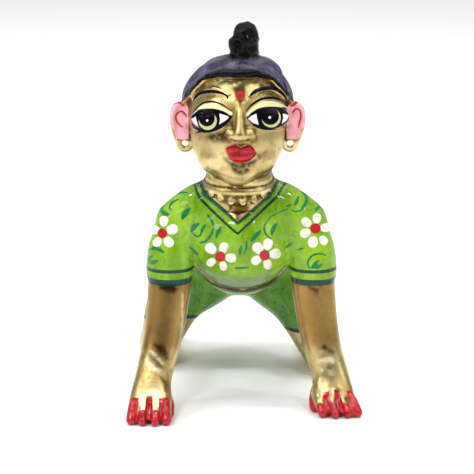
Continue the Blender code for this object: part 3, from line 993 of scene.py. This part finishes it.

# Stains, painted shade, painted highlights and a painted floor reflection, each station right, up and half
# as wide in shares
# Old polish stains on the face and forearms, with painted shade along the jaw, under the chin, across the
# bare waist and over the brow band and forehead
OLD_POLISH_AND_SHADE = [
    [
        (-7.2, 38.4, 0.1), (-4.8, 39.4, 0.6), (-3.0, 40.0, 0.7), (0.4, 39.8, 1.4),
        (3.8, 40.2, 0.9), (6.4, 38.9, 0.5),
    ],
    [(0.5, 38.9, 1.7), (0.9, 36.6, 1.2), (1.0, 34.0, 0.4)],
    [(-7.4, 25.7, 0.3), (-5.2, 25.8, 1.1), (-3.3, 25.9, 1.1)],
    [(-2.9, 28.6, 0.2), (-1.5, 29.6, 0.3), (-1.2, 27.6, 0.2)],
    [(-3.2, 20.2, 0.1), (-1.5, 18.8, 0.4), (0.5, 17.9, 1.5), (2.6, 18.1, 1.2), (4.9, 19.8, 0.2)],
    [(5.4, 21.6, 0.2), (5.7, 20.6, 0.3)],
    [(5.0, 37.6, -0.4), (8.2, 36.9, 0.2), (11.0, 36.0, 0.2)],
    [(-7.6, 17.8, 0.1), (-2.1, 15.5, -0.2), (2.5, 15.0, -0.2), (7.0, 16.6, 0.0), (9.0, 18.0, 0.2)],
    [(-10.9, -7.6, 0.3), (-8.6, -10.4, 0.5), (-5.0, -12.7, 0.6), (0.8, -14.0, 0.7)],
    [(0.8, -14.0, 0.7), (6.6, -12.8, 0.6), (10.4, -10.4, 0.5), (13.0, -7.6, 0.3)],
    [(-7.6, 36.0, 0.1), (-5.8, 36.3, 0.3), (-4.0, 36.4, 0.0)],
    [(-12.3, 34.4, 0.5), (-12.5, 31.0, 0.2), (-12.4, 27.6, 0.2)],
    [(13.2, 34.9, 0.5), (13.5, 31.4, 0.2), (13.4, 28.2, 0.2)],
    [(-16.4, 25.2, 0.2), (-14.6, 24.3, 0.2)],
    [(0.1, 7.2, 0.6), (0.2, 4.6, 0.6)],
    [(-19.0, -12.9, 0.9), (-16.6, -13.2, 1.1)],
    [(-21.0, -27.7, 0.4), (-19.2, -29.3, 0.9), (-18.2, -31.2, 0.2)],
    [(-22.4, -30.6, 0.0), (-20.8, -31.9, 0.1), (-19.4, -33.3, 0.0)],
    [(-19.9, -35.8, 0.1), (-18.7, -37.4, 0.4), (-18.5, -39.6, 0.1)],
    [(-22.8, -36.0, 0.0), (-22.7, -36.2, 0.0)],
    [(18.8, -12.9, 0.1), (20.4, -13.9, 0.2)],
    [(22.3, -28.4, 0.2), (24.6, -29.6, 0.2)],
    [(20.9, -38.5, 0.0), (21.4, -40.6, 0.1)],
]
# Painted highlights: near white strokes on the beads, a neck fold, the forearms and the wrists
PAINTED_HIGHLIGHTS = [
    [(-7.2, 12.0, 0.2), (-3.5, 10.2, 0.2), (0.6, 9.4, 0.2), (4.6, 10.2, 0.2), (8.2, 12.2, 0.2)],
    [(-4.4, 14.7, 0.0), (0.5, 13.9, 0.1), (5.4, 14.7, 0.0)],
    [(-14.1, -14.6, 0.1), (-14.0, -20.0, 0.2), (-14.6, -27.0, 0.2), (-16.9, -33.6, 0.2)],
    [(-22.2, -29.4, 0.2), (-20.9, -30.8, 0.45), (-19.3, -32.7, 0.4)],
    [(-23.5, -31.6, 0.2), (-22.0, -33.5, 0.6), (-19.9, -34.6, 0.4)],
    [(-22.6, -40.2, 0.6), (-20.6, -40.4, 0.8), (-20.6, -44.6, 0.9)],
    [(-24.4, -41.2, 0.6), (-24.6, -44.6, 0.7)],
    [(21.4, -31.9, 0.3), (23.8, -31.6, 0.8), (25.4, -32.4, 0.3)],
    [(21.8, -34.4, 0.5), (25.0, -35.2, 0.5)],
    [(24.8, -39.4, 0.5), (26.2, -42.0, 0.5)],
]
# A painted reflection of the pale floor, paler grey green on the belly's underside
PAINTED_FLOOR_REFLECTION = [
    [(-9.6, -7.7, 0.3), (-6.4, -10.4, 1.0), (0.5, -12.2, 1.6), (6.0, -11.0, 1.0), (8.4, -8.8, 0.3)],
]
HATCHED_BANDS = [
    [
        (-10.6, 34.2, 0.4), (-8.7, 35.7, 0.9), (-6.0, 36.1, 1.0), (-3.6, 35.6, 0.9),
        (-1.8, 34.2, 0.5),
    ],
    [(2.7, 34.2, 0.5), (4.6, 36.3, 0.8), (8.0, 37.1, 0.9), (11.2, 36.5, 0.7), (12.8, 34.8, 0.3)],
]
INK_LINES = BROWS + LID_CREASES + LASH_TAILS
FULLER = {"petal": 0.06, "flower_eye": 0.04, "leaf": 0.12}  # how much fuller the brush lies
PETAL_PULL = 0.28
BACK_WAY = np.array((0, 0.6, 0.8))
BACK_UP = np.array((0, -0.8, 0.6))
BACK_FLOWERS = [(-9.6, 22.4), (-1.0, 18.4), (7.6, 22.4)]
BACK_LEAVES = [
    [(-6.4, 19.6, 0.15), (-5.4, 20.8, 0.5), (-4.2, 21.6, 0.15)],
    [(2.4, 21.6, 0.15), (3.5, 20.8, 0.5), (4.4, 19.6, 0.15)],
    [(-12.6, 18.6, 0.15), (-11.4, 17.8, 0.4), (-10.0, 17.6, 0.1)],
    [(8.0, 17.6, 0.1), (9.4, 17.8, 0.4), (10.6, 18.6, 0.15)],
]


def petals():
    """Each petal a drop of paint drawn a little away from the eye of its flower."""
    strokes = []
    for ((u, v, wide),) in PETALS:
        eyes = [flower[0][:2] for flower in FLOWER_EYES]
        eye = min(eyes, key=lambda at: math.dist(at, (u, v)))
        far = math.hypot(u - eye[0], v - eye[1])
        way = ((u - eye[0]) / far, (v - eye[1]) / far)
        near_end = (u - PETAL_PULL * way[0], v - PETAL_PULL * way[1], wide * 0.9)
        strokes.append([near_end, (u + PETAL_PULL * way[0], v + PETAL_PULL * way[1], wide)])
    return strokes


def back_eyes():
    return [[(u, v, 1.2)] for u, v in BACK_FLOWERS]


def back_petals():
    ring = [(math.cos(a), math.sin(a)) for a in np.radians((90, 162, 234, 306, 18))]
    return [[(u + 2.2 * c, v + 2.2 * s, 1.05)] for u, v in BACK_FLOWERS for c, s in ring]


def seen(points):
    """Where the painter sees each point from in front, in shares right and up from AIM."""
    back = np.array((0, -math.cos(VIEW_RISE), math.sin(VIEW_RISE)))
    up = np.array((0, math.sin(VIEW_RISE), math.cos(VIEW_RISE)))
    near = VIEW_DISTANCE / (VIEW_DISTANCE - (points - AIM) @ back)
    return np.stack([(points - AIM)[:, 0] * near, (points - AIM) @ up * near], 1)


def along(spots, starts, ends):
    """For each spot and each piece of a line, how far along it and how far away it is."""
    way = ends - starts
    part = ((spots[:, None] - starts) * way).sum(2) / np.maximum((way**2).sum(1), 1e-9)
    part = np.clip(part, 0, 1)
    away = np.linalg.norm(spots[:, None] - starts - part[..., None] * way, axis=2)
    return part, away


def near_to(spots, track, brush=0.0):
    reach = brush - OUTSIDE
    inside = (spots > track.min(0) - reach) & (spots < track.max(0) + reach)
    return np.flatnonzero(inside.all(1))


def brushed(spots, strokes):
    """How deep each spot lies inside strokes of the brush, and below zero outside them."""
    depth = np.full(len(spots), OUTSIDE)
    for stroke in strokes:
        track = between(stroke, 6) if len(stroke) > 1 else np.array([stroke[0], stroke[0]])
        near = near_to(spots, track[:, :-1], track[:, -1].max())
        part, away = along(spots[near], track[:-1, :-1], track[1:, :-1])
        width = track[:-1, -1] * (1 - part) + track[1:, -1] * part
        depth[near] = np.maximum(depth[near], (width - away).max(1))
    return depth


def filled(spots, outlines, steps=1):
    """How deep each spot lies inside painted outlines."""
    depth = np.full(len(spots), OUTSIDE)
    for outline in outlines:
        loop = between([*outline, outline[0]], steps)
        near = near_to(spots, loop)
        starts, ends = loop[:-1], loop[1:]
        away = along(spots[near], starts, ends)[1].min(1)
        u, v = spots[near, None, 0], spots[near, None, 1]
        crosses = (starts[:, 1] > v) != (ends[:, 1] > v)
        rise = np.where(ends[:, 1] == starts[:, 1], 1e-9, ends[:, 1] - starts[:, 1])
        left = u < starts[:, 0] + (v - starts[:, 1]) / rise * (ends[:, 0] - starts[:, 0])
        inside = (crosses & left).sum(1) % 2 == 1
        depth[near] = np.maximum(depth[near], np.where(inside, away, -away))
    return depth


def ringed(spots, rings):
    """Crescents: inside the first circle and outside the second."""
    depth = np.full(len(spots), OUTSIDE)
    for outer, inner in rings:
        within = outer[2] - np.linalg.norm(spots - outer[:2], axis=1)
        beyond = np.linalg.norm(spots - inner[:2], axis=1) - inner[2]
        depth = np.maximum(depth, np.minimum(within, beyond))
    return depth


def hollows(points, faces, passes=14):
    """How far each point lies in a hollow of the skin, in shares, and below zero on a crest."""
    sides = np.concatenate([faces[:, [0, 1]], faces[:, [1, 2]], faces[:, [2, 0]]])
    edges = np.unique(np.sort(sides), axis=0)
    count = np.bincount(edges.ravel(), minlength=len(points))[:, None]
    eased = points.copy()
    for _ in range(passes):
        total = np.zeros_like(points)
        for k in range(3):
            total[:, k] = np.bincount(edges[:, 0], eased[edges[:, 1], k], len(points))
            total[:, k] += np.bincount(edges[:, 1], eased[edges[:, 0], k], len(points))
        eased = 0.5 * eased + 0.5 * total / count
    return eased - points


def paint_fields(points, normals, faces):
    """Every painted line and patch as a depth at each point of the skin."""
    spots = seen(points)
    x, y, z = points.T
    toward_painter = normals @ (0, -math.cos(VIEW_RISE), math.sin(VIEW_RISE))
    everywhere = np.ones(len(points), bool)
    on_face = (z > 60) & (y < 0) & (np.abs(x) < 14.5)
    in_view = 4 * (toward_painter - 0.22)
    on_front = (in_view > -1) & (z < 62) & (y < 9)
    on_back = (normals @ BACK_WAY > 0.3) & (y > 3) & (z > 30)
    back_spots = np.stack([-x, points @ BACK_UP], 1)
    on_ear = (z > 66) & (np.abs(x) > 12) & (toward_painter > 0)
    hem, waist = above_cuff(points), WAIST_AT - points @ WAIST_WAY
    inner, outer = inner_neckline(points), outer_neckline(points)
    from_inner = np.abs(inner - NECK_OVERLAP)
    in_hair, fringe = hair_field(points), 0.8 - from_inner
    cuff_lines = np.maximum(0.8 - np.abs(hem - 0.75), 0.46 - np.abs(hem - 3.75))
    drawn, outlined = brushed(spots, INK_LINES), filled(spots, EYE_OUTLINES, steps=3)
    u, v = spots.T
    brow_bands = np.where(on_face, brushed(spots, HATCHED_BANDS), OUTSIDE)
    stroked = np.select([in_hair > 0, z > 62], [in_hair, brow_bands], np.where(z > 48, fringe, OUTSIDE))
    locks = np.abs(round_head(points)) / 3.6 + 0.25 * np.sin(z * 0.7)
    phase = np.select([in_hair > 0, z > 62], [locks, (v - 1.6 * np.abs(u - 0.55)) / 1.1], u / 0.46)
    fields = {
        "ink": (on_face, np.minimum(np.maximum(drawn, outlined), in_view)),
        "eye_white": (on_face, np.minimum(filled(spots, EYE_WHITES), in_view)),
        "lid": (on_face, filled(spots, LIDS, steps=3)),
        "lid_edge": (on_face, brushed(spots, LID_EDGES)),
        "iris_ring": (on_face, ringed(spots, IRIS_RINGS)),
        "glint": (on_face, brushed(spots, GLINTS)),
        "lips": (on_face, np.maximum(filled(spots, LIPS, steps=3), brushed(spots, BINDI))),
        "lip_parting": (on_face, brushed(spots, LIP_PARTING)),
        # painted shade along the nose
        "nose_shade_line": (on_face, brushed(spots, NOSE_LINES)),
        "ear_line": (on_ear, brushed(spots, EAR_LINES) + 0.11),
        "neck_line": (z > 42, np.maximum(0.45 - from_inner, 0.34 - np.abs(outer))),
        "cuff_line": ((y < 8) & (z < 40), cuff_lines),
        "waist_line": (z < 60, 0.35 - np.abs(waist - 0.3)),
        "knee_line": (y > 9, 0.5 - np.abs(above_knee_hem(points) - 0.5)),
        # old polish stains and painted shade
        "old_polish_and_shade": (toward_painter > 0, brushed(spots, OLD_POLISH_AND_SHADE)),
        # painted highlights
        "painted_highlight": (toward_painter > 0, brushed(spots, PAINTED_HIGHLIGHTS)),
        # painted reflection of the floor on the belly's underside
        "painted_floor_reflection": (on_front, brushed(spots, PAINTED_FLOOR_REFLECTION)),
        "black_hair": (z > 60, np.maximum(1.1 - np.abs(hair_field(points) - 0.7), z - 91.6)),
        "warm_brass": (on_arms(points), np.minimum((52 - z) / 5, (z - 14) / 5)),
        "stroke_band": (everywhere, stroked),
        "stroke_phase": (everywhere, phase),
        "hollow": (everywhere, (hollows(points, faces) * normals).sum(1)),
    }
    front = {"petal": petals(), "flower_eye": FLOWER_EYES, "leaf": LEAVES}
    rear = {"petal": back_petals(), "flower_eye": back_eyes(), "leaf": BACK_LEAVES}
    for name, strokes in front.items():
        behind = np.where(on_back, brushed(back_spots, rear[name]), OUTSIDE)
        before = np.minimum(brushed(spots, strokes), in_view)
        fields[name] = (on_front | on_back, np.where(on_front, before, behind) + FULLER[name])
    return {name: np.where(where, depth, OUTSIDE) for name, (where, depth) in fields.items()}


# Finishes


def linear(hex_colour):
    """The linear colour of an sRGB hex value."""
    parts = [int(hex_colour[i : i + 2], 16) / 255 for i in (1, 3, 5)]
    return (*(c / 12.92 if c <= 0.04045 else ((c + 0.055) / 1.055) ** 2.4 for c in parts), 1.0)


def add_node(tree, kind, settings=(), links=()):
    """One node of a finish, with its settings, its plain inputs and its links."""
    node = tree.nodes.new("ShaderNode" + kind)
    for name, value in dict(settings).items():
        if isinstance(name, str) and hasattr(node, name):
            setattr(node, name, value)
        else:
            node.inputs[name].default_value = value
    for name, socket in dict(links).items():
        tree.links.new(socket, node.inputs[name])
    return node


def new_finish(name, roughness, specular=0.5):
    material = bpy.data.materials.new(name)
    material.use_nodes = True
    tree = material.node_tree
    shader = tree.nodes["Principled BSDF"]
    shader.inputs["Roughness"].default_value = roughness
    shader.inputs["Specular IOR Level"].default_value = specular
    return material, tree, shader


def grain(tree, size_mm, detail=3.0, stretch=(1, 1, 1)):
    """Soft random variation with features of a real size, fixed to the figure."""
    place = add_node(tree, "TexCoord").outputs["Object"]
    scaled = add_node(tree, "Mapping", {"Scale": stretch}, {"Vector": place})
    settings = {"Scale": 1000 / size_mm, "Detail": detail, "Roughness": 0.55}
    return add_node(tree, "TexNoise", settings, {"Vector": scaled.outputs[0]}).outputs["Fac"]


def mottled(tree, cloud, pale, deep, low_end=0.35, high_end=0.65):
    """Two tones that drift into each other with the cloud."""
    share = add_node(tree, "MapRange", {1: low_end, 2: high_end}, {0: cloud})
    settings, links = {"data_type": "RGBA"}, {0: share.outputs[0]}
    for slot, tone in ((6, pale), (7, deep)):
        if isinstance(tone, str):
            settings[slot] = linear(tone)
        else:
            links[slot] = tone
    return add_node(tree, "Mix", settings, links).outputs[2]


def laid_on(tree, under, name, colour, thin=-0.06, full=0.06, cover=1.0, broken=None):
    """A paint, a stain, a painted highlight or painted shade over a colour, where its field
    says so. Returns colour and share.
    """
    field = add_node(tree, "Attribute", {"attribute_name": name})
    settings = {"interpolation_type": "SMOOTHSTEP", 1: thin, 2: full, 4: cover}
    share = add_node(tree, "MapRange", settings, {0: field.outputs["Fac"]}).outputs[0]
    if broken is not None:
        patches = add_node(tree, "MapRange", {1: 0.28, 2: 0.46}, {0: broken})
        links = {0: share, 1: patches.outputs[0]}
        share = add_node(tree, "Math", {"operation": "MULTIPLY"}, links).outputs[0]
    settings = {"data_type": "RGBA", 7: linear(colour)}
    mixed = add_node(tree, "Mix", settings, {0: share, 6: under})
    return mixed.outputs[2], share


def painted_on(tree, under, paints):
    """Enamels one over another. Returns the colour and the share that is painted."""
    painted = None
    for name, colour in paints:
        under, share = laid_on(tree, under, name, colour)
        if painted is not None:
            links = {0: share, 1: painted}
            share = add_node(tree, "Math", {"operation": "MAXIMUM"}, links).outputs[0]
        painted = share
    return under, painted


def ruled_strokes(tree):
    """Fine side-by-side strokes, zero outside their bands."""
    place = add_node(tree, "Attribute", {"attribute_name": "stroke_phase"})
    settings = {"operation": "MULTIPLY", 1: 2 * math.pi}
    turn = add_node(tree, "Math", settings, {0: place.outputs["Fac"]})
    wave = add_node(tree, "Math", {"operation": "SINE"}, {0: turn.outputs[0]})
    band = add_node(tree, "Attribute", {"attribute_name": "stroke_band"})
    inside = add_node(tree, "MapRange", {1: -0.1, 2: 0.2, 4: 0.8}, {0: band.outputs["Fac"]})
    lines = add_node(tree, "MapRange", {1: -0.2, 2: 0.7}, {0: wave.outputs[0]})
    links = {0: lines.outputs[0], 1: inside.outputs[0]}
    return add_node(tree, "Math", {"operation": "MULTIPLY"}, links).outputs[0]


def polished_brass():
    """Cast yellow brass, buffed to a soft sheen, with painted highlights, near white and less
    rough, on the beads, a neck fold, the forearms and the wrists, and olive brown with old
    polish in its hollows. Strokes of old polish and painted shade darken the forehead, the
    jaw, the chin and the bare waist. Fine cuts show dark under the brows and along the
    neckline, and the eyes and brows are painted on it."""
    material, tree, shader = new_finish("polished cast brass", 0.3, 0.05)
    cloudy = grain(tree, 9.0)
    speckled = grain(tree, 1.6, 5.0)
    pale_metal = mottled(tree, cloudy, "#D6C48E", "#BCA268")
    metal, _ = laid_on(tree, pale_metal, "warm_brass", "#98743E", 0, 1, 0.85)
    metal = mottled(tree, speckled, metal, "#85652E", 0.52, 0.9)
    # painted highlights, near white, which also make the brass less rough there
    metal, bright = laid_on(tree, metal, "painted_highlight", "#FFF0C4", -0.6, 0.5, 0.9, speckled)
    # old polish stains and painted shade
    metal, _ = laid_on(tree, metal, "old_polish_and_shade", "#33280E", -0.9, 0.6, 0.94, grain(tree, 2.6, 4.0))
    metal, _ = laid_on(tree, metal, "hollow", "#5A3D18", 0.02, 0.2, 0.95, speckled)
    # painted shade along the nose's sides, wings and tip
    metal, _ = laid_on(tree, metal, "nose_shade_line", "#5A4420", -0.1, 0.06, 0.85)
    cuts = ruled_strokes(tree)
    settings = {"data_type": "RGBA", 7: linear("#8C7236")}
    metal = add_node(tree, "Mix", settings, {0: cuts, 6: metal}).outputs[2]
    paints = [
        ("ink", "#0B0710"),
        ("eye_white", "#F3EEF4"),
        ("lid", "#E9E6B2"),
        ("lid_edge", "#F6F4EE"),
        ("iris_ring", "#C9CF93"),
        ("glint", "#FFFFFF"),
    ]
    colour, painted = painted_on(tree, metal, paints)
    tree.links.new(colour, shader.inputs["Base Color"])
    bare = add_node(tree, "Math", {"operation": "SUBTRACT", 0: 1.0}, {1: painted})
    tree.links.new(bare.outputs[0], shader.inputs["Metallic"])
    sheen = add_node(tree, "MapRange", {1: 0.3, 2: 0.7, 3: 0.26, 4: 0.42}, {0: cloudy})
    rubbed = add_node(tree, "Mix", {3: 0.5}, {0: bright, 2: sheen.outputs[0]})
    gloss = add_node(tree, "Mix", {3: 0.2}, {0: painted, 2: rubbed.outputs[0]})
    tree.links.new(gloss.outputs[0], shader.inputs["Roughness"])
    dents = add_node(tree, "Bump", {"Distance": 5e-5}, {"Height": grain(tree, 2.4, 2.0)})
    links = {"Height": speckled, "Normal": dents.outputs[0]}
    file_marks = add_node(tree, "Bump", {"Distance": 1.5e-5}, links)
    tree.links.new(file_marks.outputs[0], shader.inputs["Normal"])
    return material


def green_enamel(name, pale, deep, paints):
    """Brushed green enamel: streaks of thinner and thicker colour under a wet gloss, and a
    painted reflection of the floor, paler grey green, on the belly's underside. The petals
    stand up as drops of thick white, and small ripples break the light into glints."""
    material, tree, shader = new_finish(name, 0.42, 0.14)
    streaks = grain(tree, 5.0, 4.0, (1, 1, 0.35))
    ground = mottled(tree, streaks, pale, deep)
    # a painted reflection of the floor, paler on the belly's underside
    ground, _ = laid_on(tree, ground, "painted_floor_reflection", "#788E70", -1.3, 0.9, 0.8)
    colour, painted = painted_on(tree, ground, paints)
    settings = {"data_type": "RGBA", 7: linear("#0A4A26")}
    ticked = add_node(tree, "Mix", settings, {0: ruled_strokes(tree), 6: colour})
    tree.links.new(ticked.outputs[2], shader.inputs["Base Color"])
    shader.inputs["Coat Weight"].default_value = 0.5
    shader.inputs["Coat Roughness"].default_value = 0.05
    drop = add_node(tree, "Attribute", {"attribute_name": "petal"})
    dome = add_node(tree, "MapRange", {1: 0, 2: 0.8}, {0: drop.outputs["Fac"]})
    thick = add_node(tree, "Bump", {"Distance": 2e-4}, {"Height": dome.outputs[0]})
    links = {"Height": painted, "Normal": thick.outputs[0]}
    film = add_node(tree, "Bump", {"Distance": 3e-5}, links)
    crests = add_node(tree, "MapRange", {1: 0.5, 2: 0.8}, {0: grain(tree, 1.7, 0.6)})
    links = {"Height": crests.outputs[0], "Normal": film.outputs[0]}
    ripples = add_node(tree, "Bump", {"Distance": 5e-4}, links)
    tree.links.new(ripples.outputs[0], shader.inputs["Normal"])
    return material


def blouse_enamel():
    paints = [
        ("leaf", "#057A3C"),
        ("neck_line", "#053F24"),
        ("cuff_line", "#043A2A"),
        ("waist_line", "#2A4E40"),
        ("petal", "#F3F1E4"),
        ("flower_eye", "#B80C18"),
    ]
    return green_enamel("leaf green enamel", "#94C32C", "#6A9A02", paints)


def trouser_enamel():
    return green_enamel("deep green enamel", "#689E34", "#4A8022", [("knee_line", "#16332C")])


def hair_enamel():
    """Blue-black enamel on the combed hair, lilac grey on the crown as a painted reflection of
    the light above, and solid black on the front roll and the knot: nearly a mirror, so its
    locks show as glints."""
    material, tree, shader = new_finish("blue-black enamel", 0.08, 0.18)
    # the lilac grey is a painted reflection of the light above
    tone = mottled(tree, grain(tree, 4.0, 4.0), "#6F6987", "#2B2642", 0.4, 0.62)
    strand = ruled_strokes(tree)
    settings = {"data_type": "RGBA", 7: linear("#1E1A33")}
    combed = add_node(tree, "Mix", settings, {0: strand, 6: tone}).outputs[2]
    colour, _ = laid_on(tree, combed, "black_hair", "#010102", -0.5, 0.4)
    tree.links.new(colour, shader.inputs["Base Color"])
    strands = add_node(tree, "Bump", {"Distance": 2e-4}, {"Height": strand})
    links = {"Height": grain(tree, 2.4, 0.5), "Normal": strands.outputs[0]}
    locks = add_node(tree, "Bump", {"Distance": 1e-3}, links)
    tree.links.new(locks.outputs[0], shader.inputs["Normal"])
    return material


def ear_enamel():
    """Soft pink enamel with the folds of the ear drawn on in crimson."""
    material, tree, shader = new_finish("pink enamel", 0.3, 0.35)
    tone = mottled(tree, grain(tree, 3.0), "#FFBCC4", "#F7A9B4")
    colour, _ = laid_on(tree, tone, "ear_line", "#B5142F")
    tree.links.new(colour, shader.inputs["Base Color"])
    return material


def red_enamel():
    """Red enamel on fingertips, put on thickly and unevenly."""
    material, tree, shader = new_finish("red enamel", 0.12, 0.45)
    blotches = grain(tree, 1.8, 4.0)
    tree.links.new(mottled(tree, blotches, "#960A15", "#C41F2B"), shader.inputs["Base Color"])
    lumps = add_node(tree, "Bump", {"Distance": 1.4e-4}, {"Height": blotches})
    tree.links.new(lumps.outputs[0], shader.inputs["Normal"])
    return material


def lip_enamel():
    """Bright red enamel on the full lips and the forehead mark, glossy as if still wet."""
    material, tree, shader = new_finish("lip red enamel", 0.1, 0.5)
    tone = mottled(tree, grain(tree, 2.0), "#C51823", "#A40D18")
    colour, _ = laid_on(tree, tone, "lip_parting", "#6E0812", -0.1, 0.1)
    tree.links.new(colour, shader.inputs["Base Color"])
    edge = add_node(tree, "Attribute", {"attribute_name": "lips"})
    round_edge = add_node(tree, "MapRange", {1: 0, 2: 0.5}, {0: edge.outputs["Fac"]})
    swell = add_node(tree, "Bump", {"Distance": 4e-4}, {"Height": round_edge.outputs[0]})
    links = {"Height": grain(tree, 1.2), "Normal": swell.outputs[0]}
    strokes = add_node(tree, "Bump", {"Distance": 1.5e-4}, links)
    tree.links.new(strokes.outputs[0], shader.inputs["Normal"])
    return material


FINISHES = (
    (polished_brass, None),
    (blouse_enamel, blouse_field),
    (trouser_enamel, trouser_field),
    (hair_enamel, hair_field),
    (ear_enamel, ear_field),
    (red_enamel, red_field),
    (lip_enamel, lip_field),
)


# The stains, the painted shade, highlights and floor reflection have soft edges and need no fine skin
SOFT_EDGED = ("hollow", "warm_brass", "old_polish_and_shade", "painted_highlight", "painted_floor_reflection")
SOFT_EDGED += ("black_hair", "stroke_band", "stroke_phase")
FINER_STEPS = (1.0, 0.6, 0.34)


def make_figure():
    points, faces = finished_skin()
    for longest in FINER_STEPS:
        depths = paint_fields(points, outward(points, faces), faces).items()
        to_line = np.min([np.abs(depth) for name, depth in depths if name not in SOFT_EDGED], axis=0)
        points, faces = made_finer(points, faces, to_line < 0.9 * longest, longest)
    for _, zone in FINISHES[1:]:
        points, faces = cut_along(points, faces, zone)
    middles = points[faces].mean(1)
    finish = np.zeros(len(faces), int)
    for number, (_, zone) in enumerate(FINISHES[1:], 1):
        finish[zone(middles) > 0] = number
    obj = as_object("baby_radha_casting", points, faces.tolist())
    for make, _ in FINISHES:
        obj.data.materials.append(make())
    obj.data.polygons.foreach_set("material_index", finish)
    obj.data.polygons.foreach_set("use_smooth", np.ones(len(faces), bool))
    obj.data.update()
    points, normals = read_shares(obj.data)
    for name, depth in paint_fields(points, normals, faces).items():
        layer = obj.data.attributes.new(name, "FLOAT", "POINT")
        layer.data.foreach_set("value", depth.astype(np.float32))
    return obj


# Stage and camera


LAMPS_AIM = (0, 0, 0.05)
# Each lamp's name, its place and size in metres and its power in watts
LAMPS = [
    ("overhead softbox", (0, 0.15, 0.8), 0.8, 5.2),
    ("key softbox", (-0.75, -0.45, 0.55), 0.3, 1.6),
    ("fill softbox", (0.8, -0.35, 0.45), 0.3, 0.7),
    ("front left lamp", (-0.3, -0.6, 0.75), 0.18, 2.4),
    ("front right lamp", (0.4, -0.6, 0.8), 0.14, 1.2),
    ("high left lamp", (-0.55, 0.0, 0.8), 0.06, 1.2),
    ("high right lamp", (0.5, -0.05, 0.8), 0.06, 1.0),
]
FLOOR_REACH = 6.0
SENSOR_WIDTH = 36


def plain(name, colour, roughness):
    material, _, shader = new_finish(name, roughness)
    shader.inputs["Base Color"].default_value = linear(colour)
    return material


def sheet_of(name, corners, material):
    mesh = bpy.data.meshes.new(name)
    mesh.from_pydata(corners, [], [(0, 1, 2, 3)])
    mesh.materials.append(material)
    return placed(name, mesh)


def softbox(name, place, size, power):
    light = bpy.data.lights.new(name, "AREA")
    light.size = size
    light.energy = power
    lamp = placed(name, light)
    lamp.location = place
    way = Vector(LAMPS_AIM) - Vector(place)
    lamp.rotation_euler = way.to_track_quat("-Z", "Y").to_euler()
    return lamp


def make_stage():
    bpy.context.scene.view_settings.view_transform = "Standard"
    floor = sheet_of(
        "floor",
        [(FLOOR_REACH * x, FLOOR_REACH * y, 0) for x, y in ((-1, -1), (1, -1), (1, 1), (-1, 1))],
        plain("pale paper", "#FAFAFA", 0.9),
    )
    card = sheet_of(
        "dark card behind the camera",
        [(-0.4, -0.9, 0.05), (0.4, -0.9, 0.05), (0.4, -0.9, 0.6), (-0.4, -0.9, 0.6)],
        plain("dark card", "#2A241C", 0.9),
    )
    lamps = [softbox(*lamp) for lamp in LAMPS]
    card.visible_camera = False
    world = bpy.data.worlds.new("studio")
    world.use_nodes = True
    world.node_tree.nodes["Background"].inputs["Color"].default_value = linear("#F4F4F6")
    world.node_tree.nodes["Background"].inputs["Strength"].default_value = 0.5
    bpy.context.scene.world = world


def make_camera():
    """Level with the face from a little above, as the photograph has it."""
    back = Vector((0, -math.cos(VIEW_RISE), math.sin(VIEW_RISE)))
    camera = bpy.data.cameras.new("camera")
    camera.sensor_width = SENSOR_WIDTH
    camera.lens = SENSOR_WIDTH * VIEW_DISTANCE / VIEW_WIDTH
    camera.clip_start = 0.01
    obj = placed("camera", camera)
    obj.location = Vector((AIM - BOX_MIDDLE) * SHARE) + back * VIEW_DISTANCE * SHARE
    obj.rotation_mode = "QUATERNION"
    obj.rotation_quaternion = (-back).to_track_quat("-Z", "Y")
    bpy.context.scene.camera = obj


casting = make_figure()
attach(casting, "root")
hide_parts("baby_radha_figure")
make_stage()
make_camera()
